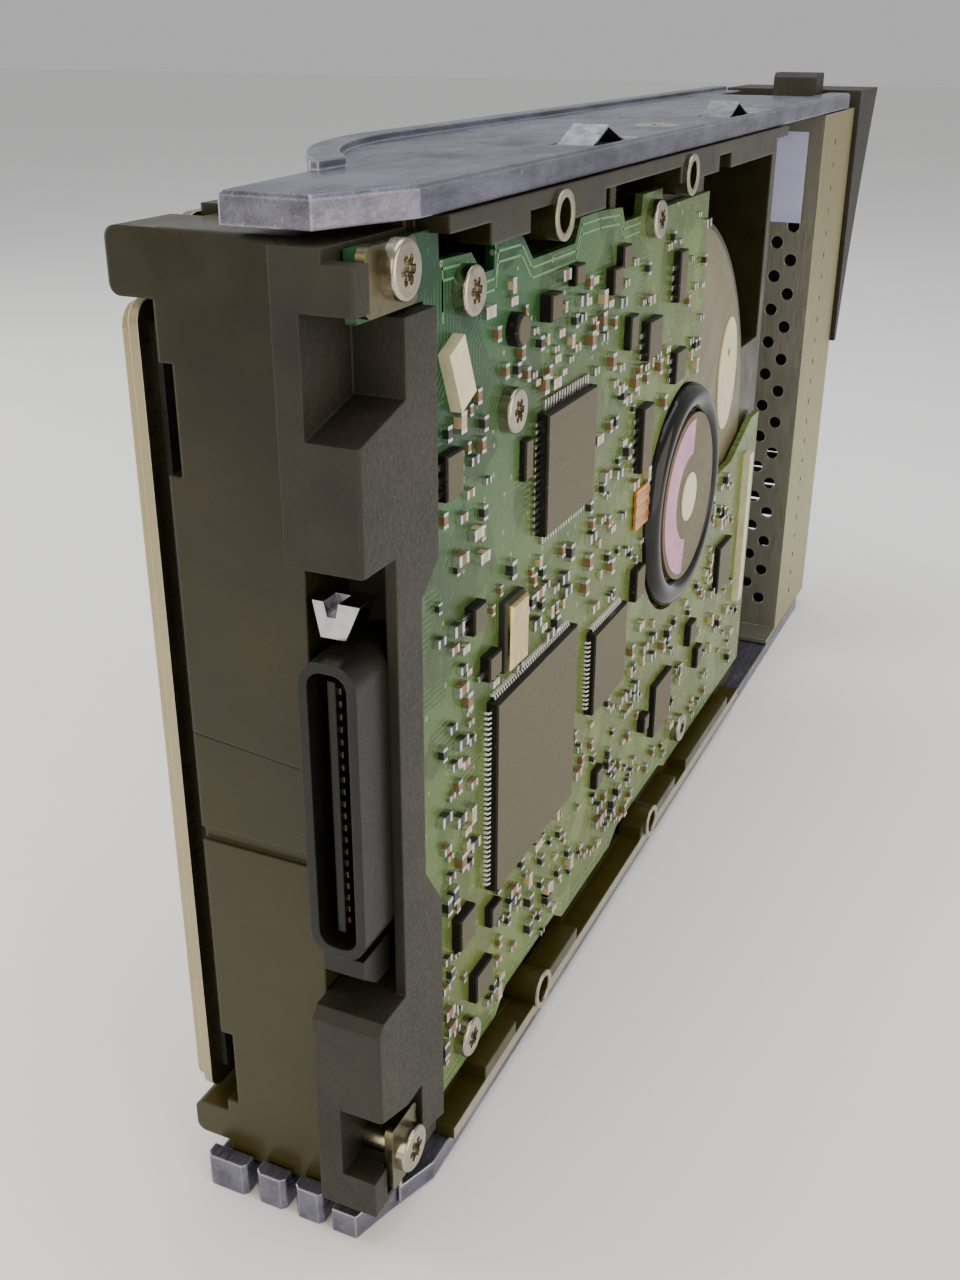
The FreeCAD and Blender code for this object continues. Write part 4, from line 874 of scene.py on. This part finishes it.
class DISK_OT_add_chip_legs(bpy.types.Operator):
    """Adds the fine legs round the two large logic chips"""
    bl_idname = "disk.add_chip_legs"
    bl_label = "Add Chip Legs"

    def execute(self, context):
        s = context.scene.disk_board
        tree = leg_tree()
        tin = plated("leg_shaded", (0.26, 0.25, 0.20), (0.2, 0.4))
        rows = []
        for number, (low, high) in enumerate(solids_of("logic_chips")[:2]):
            for side in range(4):
                along_z = side < 2
                first, last = (low[2], high[2]) if along_z else (low[1], high[1])
                count = int((last - first - LEG_MARGIN) / s.leg_pitch)
                begin = (first + last) / 2 - s.leg_pitch * (count - 1) / 2
                out = 1 if side % 2 else -1
                edge = (high[1] if out > 0 else low[1]) if along_z else (high[2] if out > 0 else low[2])
                across = edge + out * LEG_OUT
                piece = object_from("row_%d_%d" % (number, side), bpy.data.meshes.new("row"))
                tree.on(piece, {
                    "Count": count, "Material": tin,
                    "Start": laid(BOARD_FACE - LEG_RISE, across, begin, along_z),
                    "Step": laid(0, 0, s.leg_pitch, along_z),
                    "Shoulder": laid(LEG_THICKNESS, LEG_SPAN, LEG_WIDTH, along_z),
                    "Foot": laid(FOOT_HEIGHT, LEG_SPAN, LEG_WIDTH, along_z),
                    "Foot offset": laid(FOOT_DROP, out * LEG_SPAN, 0, along_z)})
                rows.append(baked(piece))
        keep(joined("logic_chip_legs", rows), ROOT)
        return {"FINISHED"}


def ribbon(name, points, width, height, material):
    """Thin raised strip along an open path on a face turned along X."""
    mesh = bmesh.new()
    for a, b in zip(points, points[1:]):
        way = (b - a).normalized()
        side = Vector((0, -way.z, way.y)) * width / 2
        extra = way * width / 2
        low = [a - side - extra, a + side - extra, b + side + extra, b - side + extra]
        bottom = [mesh.verts.new(p) for p in low]
        top = [mesh.verts.new(p + Vector((-height, 0, 0))) for p in low]
        mesh.faces.new(top[::-1])
        mesh.faces.new(bottom)
        for i in range(4):
            j = (i + 1) % 4
            mesh.faces.new((bottom[j], bottom[i], top[i], top[j]))
    bmesh.ops.recalc_face_normals(mesh, faces=mesh.faces)
    return object_from_faces(name, mesh, material)


# paths a little inside the board's upper and lower edges, y and z
UPPER_EDGE = ((23.2, 42.0), (23.2, 45.6), (17.6, 45.4), (15.2, 43.1), (11.8, 43.1), (11.2, 45.5), (5.6, 45.4),
              (2.9, 42.8), (-9.4, 42.8), (-11.0, 45.3), (-16.8, 45.3), (-23.8, 44.9), (-24.8, 43.2),
              (-31.0, 43.2))
LOWER_EDGE = ((26.2, -20.0), (26.2, -44.4), (10.4, -44.4), (7.4, -42.0), (-9.4, -42.0), (-12.4, -44.2),
              (-30.6, -44.2), (-33.6, -42.4), (-54.4, -42.4), (-57.4, -44.0), (-98.0, -44.0))


class DISK_OT_add_traces(bpy.types.Operator):
    """Lays the two guard traces that follow the board's notched edges"""
    bl_idname = "disk.add_traces"
    bl_label = "Add Guard Traces"

    def execute(self, context):
        s = context.scene.disk_board
        material = flat_finish("guard_trace", (0.085, 0.23, 0.10), (0.13, 0.27, 0.11), 2 * MM, (0.2, 0.3))
        strips = []
        for edge, inward in ((UPPER_EDGE, -1), (LOWER_EDGE, 1)):
            for inset in (0.0, 1.0):
                path = [place(0, y, z + inward * inset) for y, z in edge]
                for point in path:
                    point.x = BOARD_FACE
                strips.append(ribbon("guard", path, s.trace_width, 0.03 * MM, material))
        keep(joined("guard_traces", strips), ROOT)
        return {"FINISHED"}


def motor_face(name, outer, inner, start, end, thickness, material):
    """Thin sector of a ring on the motor's cap, between two radii and two angles."""
    low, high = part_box("motor_cap")
    centre = Vector((low[0], (low[1] + high[1]) / 2, (low[2] + high[2]) / 2))
    steps = max(2, int(SECTOR_SEGMENTS * (end - start) / (2 * math.pi)))
    mesh = bmesh.new()
    rims = []
    for i in range(steps + 1):
        a = start + (end - start) * i / steps
        way = Vector((0, math.cos(a), math.sin(a)))
        rims.append([mesh.verts.new(centre + way * r) for r in (inner, outer)])
    for (a, b), (c, d) in zip(rims, rims[1:]):
        mesh.faces.new((a, b, d, c))
    bmesh.ops.remove_doubles(mesh, verts=mesh.verts, dist=0.001 * MM)
    solid = bmesh.ops.extrude_face_region(mesh, geom=mesh.faces[:])
    for element in solid["geom"]:
        if isinstance(element, bmesh.types.BMVert):
            element.co.x -= thickness
    bmesh.ops.recalc_face_normals(mesh, faces=mesh.faces)
    return keep(object_from_faces(name, mesh, material), ROOT)


class DISK_OT_add_motor_marks(bpy.types.Operator):
    """Adds the blank crescent label, the centre disc and the flex's copper lines on the motor"""
    bl_idname = "disk.add_motor_marks"
    bl_label = "Add Motor Marks"

    def execute(self, context):
        pink = flat_finish("label_mauve", (0.50, 0.22, 0.36), (0.58, 0.30, 0.42), 4 * MM, (0.3, 0.45))
        cream = flat_finish("centre_cream", (0.66, 0.60, 0.40), (0.72, 0.66, 0.46), 4 * MM, (0.3, 0.4))
        motor_face("motor_crescent", outer=11.6 * MM, inner=6.4 * MM, start=math.radians(-80),
                   end=math.radians(95), thickness=0.12 * MM, material=pink)
        motor_face("motor_centre", outer=3.6 * MM, inner=0.02 * MM, start=0.0, end=2 * math.pi,
                   thickness=0.14 * MM, material=cream)
        low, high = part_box("motor_flex")
        copper = plated("flex_copper", (0.80, 0.42, 0.16), (0.2, 0.35))
        strips = []
        inset = 0.1 * MM
        for share in (0.2, 0.5, 0.8):
            z = low[2] + (high[2] - low[2]) * share
            path = [Vector((low[0], low[1] + inset, z)), Vector((low[0], high[1] - inset, z))]
            strips.append(ribbon("line", path, 0.9 * MM, 0.04 * MM, copper))
        keep(joined("flex_lines", strips), ROOT)
        return {"FINISHED"}


def coil(name, node, wire, turns, material):
    """Helical spring along Y that fills a CAD node's box."""
    low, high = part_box(node)
    centre = Vector(((low[0] + high[0]) / 2, 0, (low[2] + high[2]) / 2))
    radius = (high[0] - low[0]) / 2 - wire
    start = low[1] + wire
    rise = high[1] - wire - start
    steps = turns * COIL_SEGMENTS
    angles = [2 * math.pi * k / WIRE_SIDES for k in range(WIRE_SIDES)]
    mesh = bmesh.new()
    rings = []
    for i in range(steps + 1):
        t = 2 * math.pi * i / COIL_SEGMENTS
        out = Vector((math.cos(t), 0, math.sin(t)))
        way = Vector((-radius * out.z, rise / (2 * math.pi * turns), radius * out.x)).normalized()
        up = way.cross(out)
        middle = centre + out * radius + Vector((0, start + rise * i / steps, 0))
        around = [(out * math.cos(a) + up * math.sin(a)) * wire for a in angles]
        rings.append([mesh.verts.new(middle + p) for p in around])
    for a, b in zip(rings, rings[1:]):
        for k in range(WIRE_SIDES):
            n = (k + 1) % WIRE_SIDES
            mesh.faces.new((a[k], a[n], b[n], b[k]))
    mesh.faces.new(rings[0][::-1])
    mesh.faces.new(rings[-1])
    bmesh.ops.recalc_face_normals(mesh, faces=mesh.faces)
    return object_from_faces(name, mesh, material)


class DISK_OT_add_button_spring(bpy.types.Operator):
    """Winds the button's return spring"""
    bl_idname = "disk.add_button_spring"
    bl_label = "Add Button Spring"

    def execute(self, context):
        piece = coil("return_spring", "button_spring", SPRING_WIRE, SPRING_TURNS,
                     bpy.data.materials["spring_steel"])
        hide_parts("button_spring")
        keep(piece, ROOT)
        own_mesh(piece)
        return {"FINISHED"}


def area_light(name, at, towards, size, power, tint):
    data = bpy.data.lights.new(name, "AREA")
    data.shape = "RECTANGLE"
    data.size, data.size_y = size
    data.energy = power
    data.color = tint
    lamp = bpy.data.objects.new(name, data)
    bpy.context.scene.collection.objects.link(lamp)
    lamp.location = at
    lamp.rotation_euler = (Vector(towards) - Vector(at)).to_track_quat("-Z", "Y").to_euler()
    return lamp


# lamps: name, place from the object's middle, size, power and tint
LAMPS = (
    ("board_side", (-0.42, 0.10, 0.12), (0.5, 0.4), 1.7, (1.0, 0.92, 0.74)),
    ("end_side", (0.05, 0.55, 0.20), (0.4, 0.4), 1.1, (1.0, 0.88, 0.60)),
    ("overhead", (0.0, -0.05, 0.60), (0.5, 0.6), 2.8, (0.88, 0.90, 1.0)),
    ("cover_side", (0.45, 0.10, 0.15), (0.4, 0.4), 1.6, (1.0, 0.95, 0.85)))
FLOOR_REACH = 3.0
FLOOR_DROP = 0.02 * MM


class DISK_OT_set_stage(bpy.types.Operator):
    """Sets the pale floor, soft lights and the camera"""
    bl_idname = "disk.set_stage"
    bl_label = "Set Stage"

    def execute(self, context):
        s = context.scene.disk_stage
        floor_mesh = bpy.data.meshes.new("floor")
        corners = [(x * FLOOR_REACH, y * FLOOR_REACH, 0) for x, y in ((-1, -1), (1, -1), (1, 1), (-1, 1))]
        floor_mesh.from_pydata(corners, [], [(0, 1, 2, 3)])
        floor = object_from("floor", floor_mesh)
        floor.location.z = CAD_BOX[0][2] - FLOOR_DROP
        pale = flat_finish("floor_pale", (0.92, 0.92, 0.91), (0.94, 0.94, 0.93), 0.3, (0.7, 0.8))
        floor_mesh.materials.append(pale)
        middle = (Vector(CAD_BOX[0]) + Vector(CAD_BOX[1])) / 2
        lamps = [area_light(name, middle + Vector(away), middle, size, power * s.light, tint)
                 for name, away, size, power, tint in LAMPS]
        world = bpy.data.worlds.new("studio")
        world.use_nodes = True
        background = world.node_tree.nodes["Background"]
        background.inputs["Color"].default_value = (1.0, 1.0, 1.0, 1.0)
        background.inputs["Strength"].default_value = 0.5
        context.scene.world = world
        data = bpy.data.cameras.new("camera")
        data.lens = s.lens
        data.sensor_fit = "AUTO"
        data.sensor_width = 36.0
        data.clip_start = 0.005
        camera = bpy.data.objects.new("camera", data)
        context.scene.collection.objects.link(camera)
        camera.location = DATUM + Vector(s.camera_from_datum)
        camera.rotation_euler = s.camera_turn
        context.scene.camera = camera
        return {"FINISHED"}


OPERATORS = (
    DISK_OT_paint_carrier, DISK_OT_paint_shell, DISK_OT_paint_board, DISK_OT_paint_mechanism,
    DISK_OT_add_small_parts, DISK_OT_add_solder, DISK_OT_add_chip_legs, DISK_OT_add_traces,
    DISK_OT_add_motor_marks, DISK_OT_add_button_spring, DISK_OT_set_stage)


class DISK_PT_panel(bpy.types.Panel):
    """Lists the drive's operators and settings"""
    bl_idname = "DISK_PT_panel"
    bl_label = "Disk Drive"
    bl_space_type = "VIEW_3D"
    bl_region_type = "UI"
    bl_category = "Disk Drive"

    def draw(self, context):
        for operator in OPERATORS:
            self.layout.operator(operator.bl_idname)
        for settings in (context.scene.disk_finish, context.scene.disk_board, context.scene.disk_stage):
            for key in settings.__annotations__:
                self.layout.prop(settings, key)


SETTINGS = (
    ("disk_finish", DiskFinishSettings), ("disk_board", DiskBoardSettings), ("disk_stage", DiskStageSettings))


def register():
    for name, group in SETTINGS:
        bpy.utils.register_class(group)
        setattr(bpy.types.Scene, name, bpy.props.PointerProperty(type=group))
    for item in OPERATORS + (DISK_PT_panel,):
        bpy.utils.register_class(item)


def unregister():
    for item in reversed(OPERATORS + (DISK_PT_panel,)):
        bpy.utils.unregister_class(item)
    for name, group in reversed(SETTINGS):
        delattr(bpy.types.Scene, name)
        bpy.utils.unregister_class(group)


def main():
    register()
    for operator in OPERATORS:
        section, call = operator.bl_idname.split(".")
        getattr(getattr(bpy.ops, section), call)()


if __name__ == "__main__":
    main()
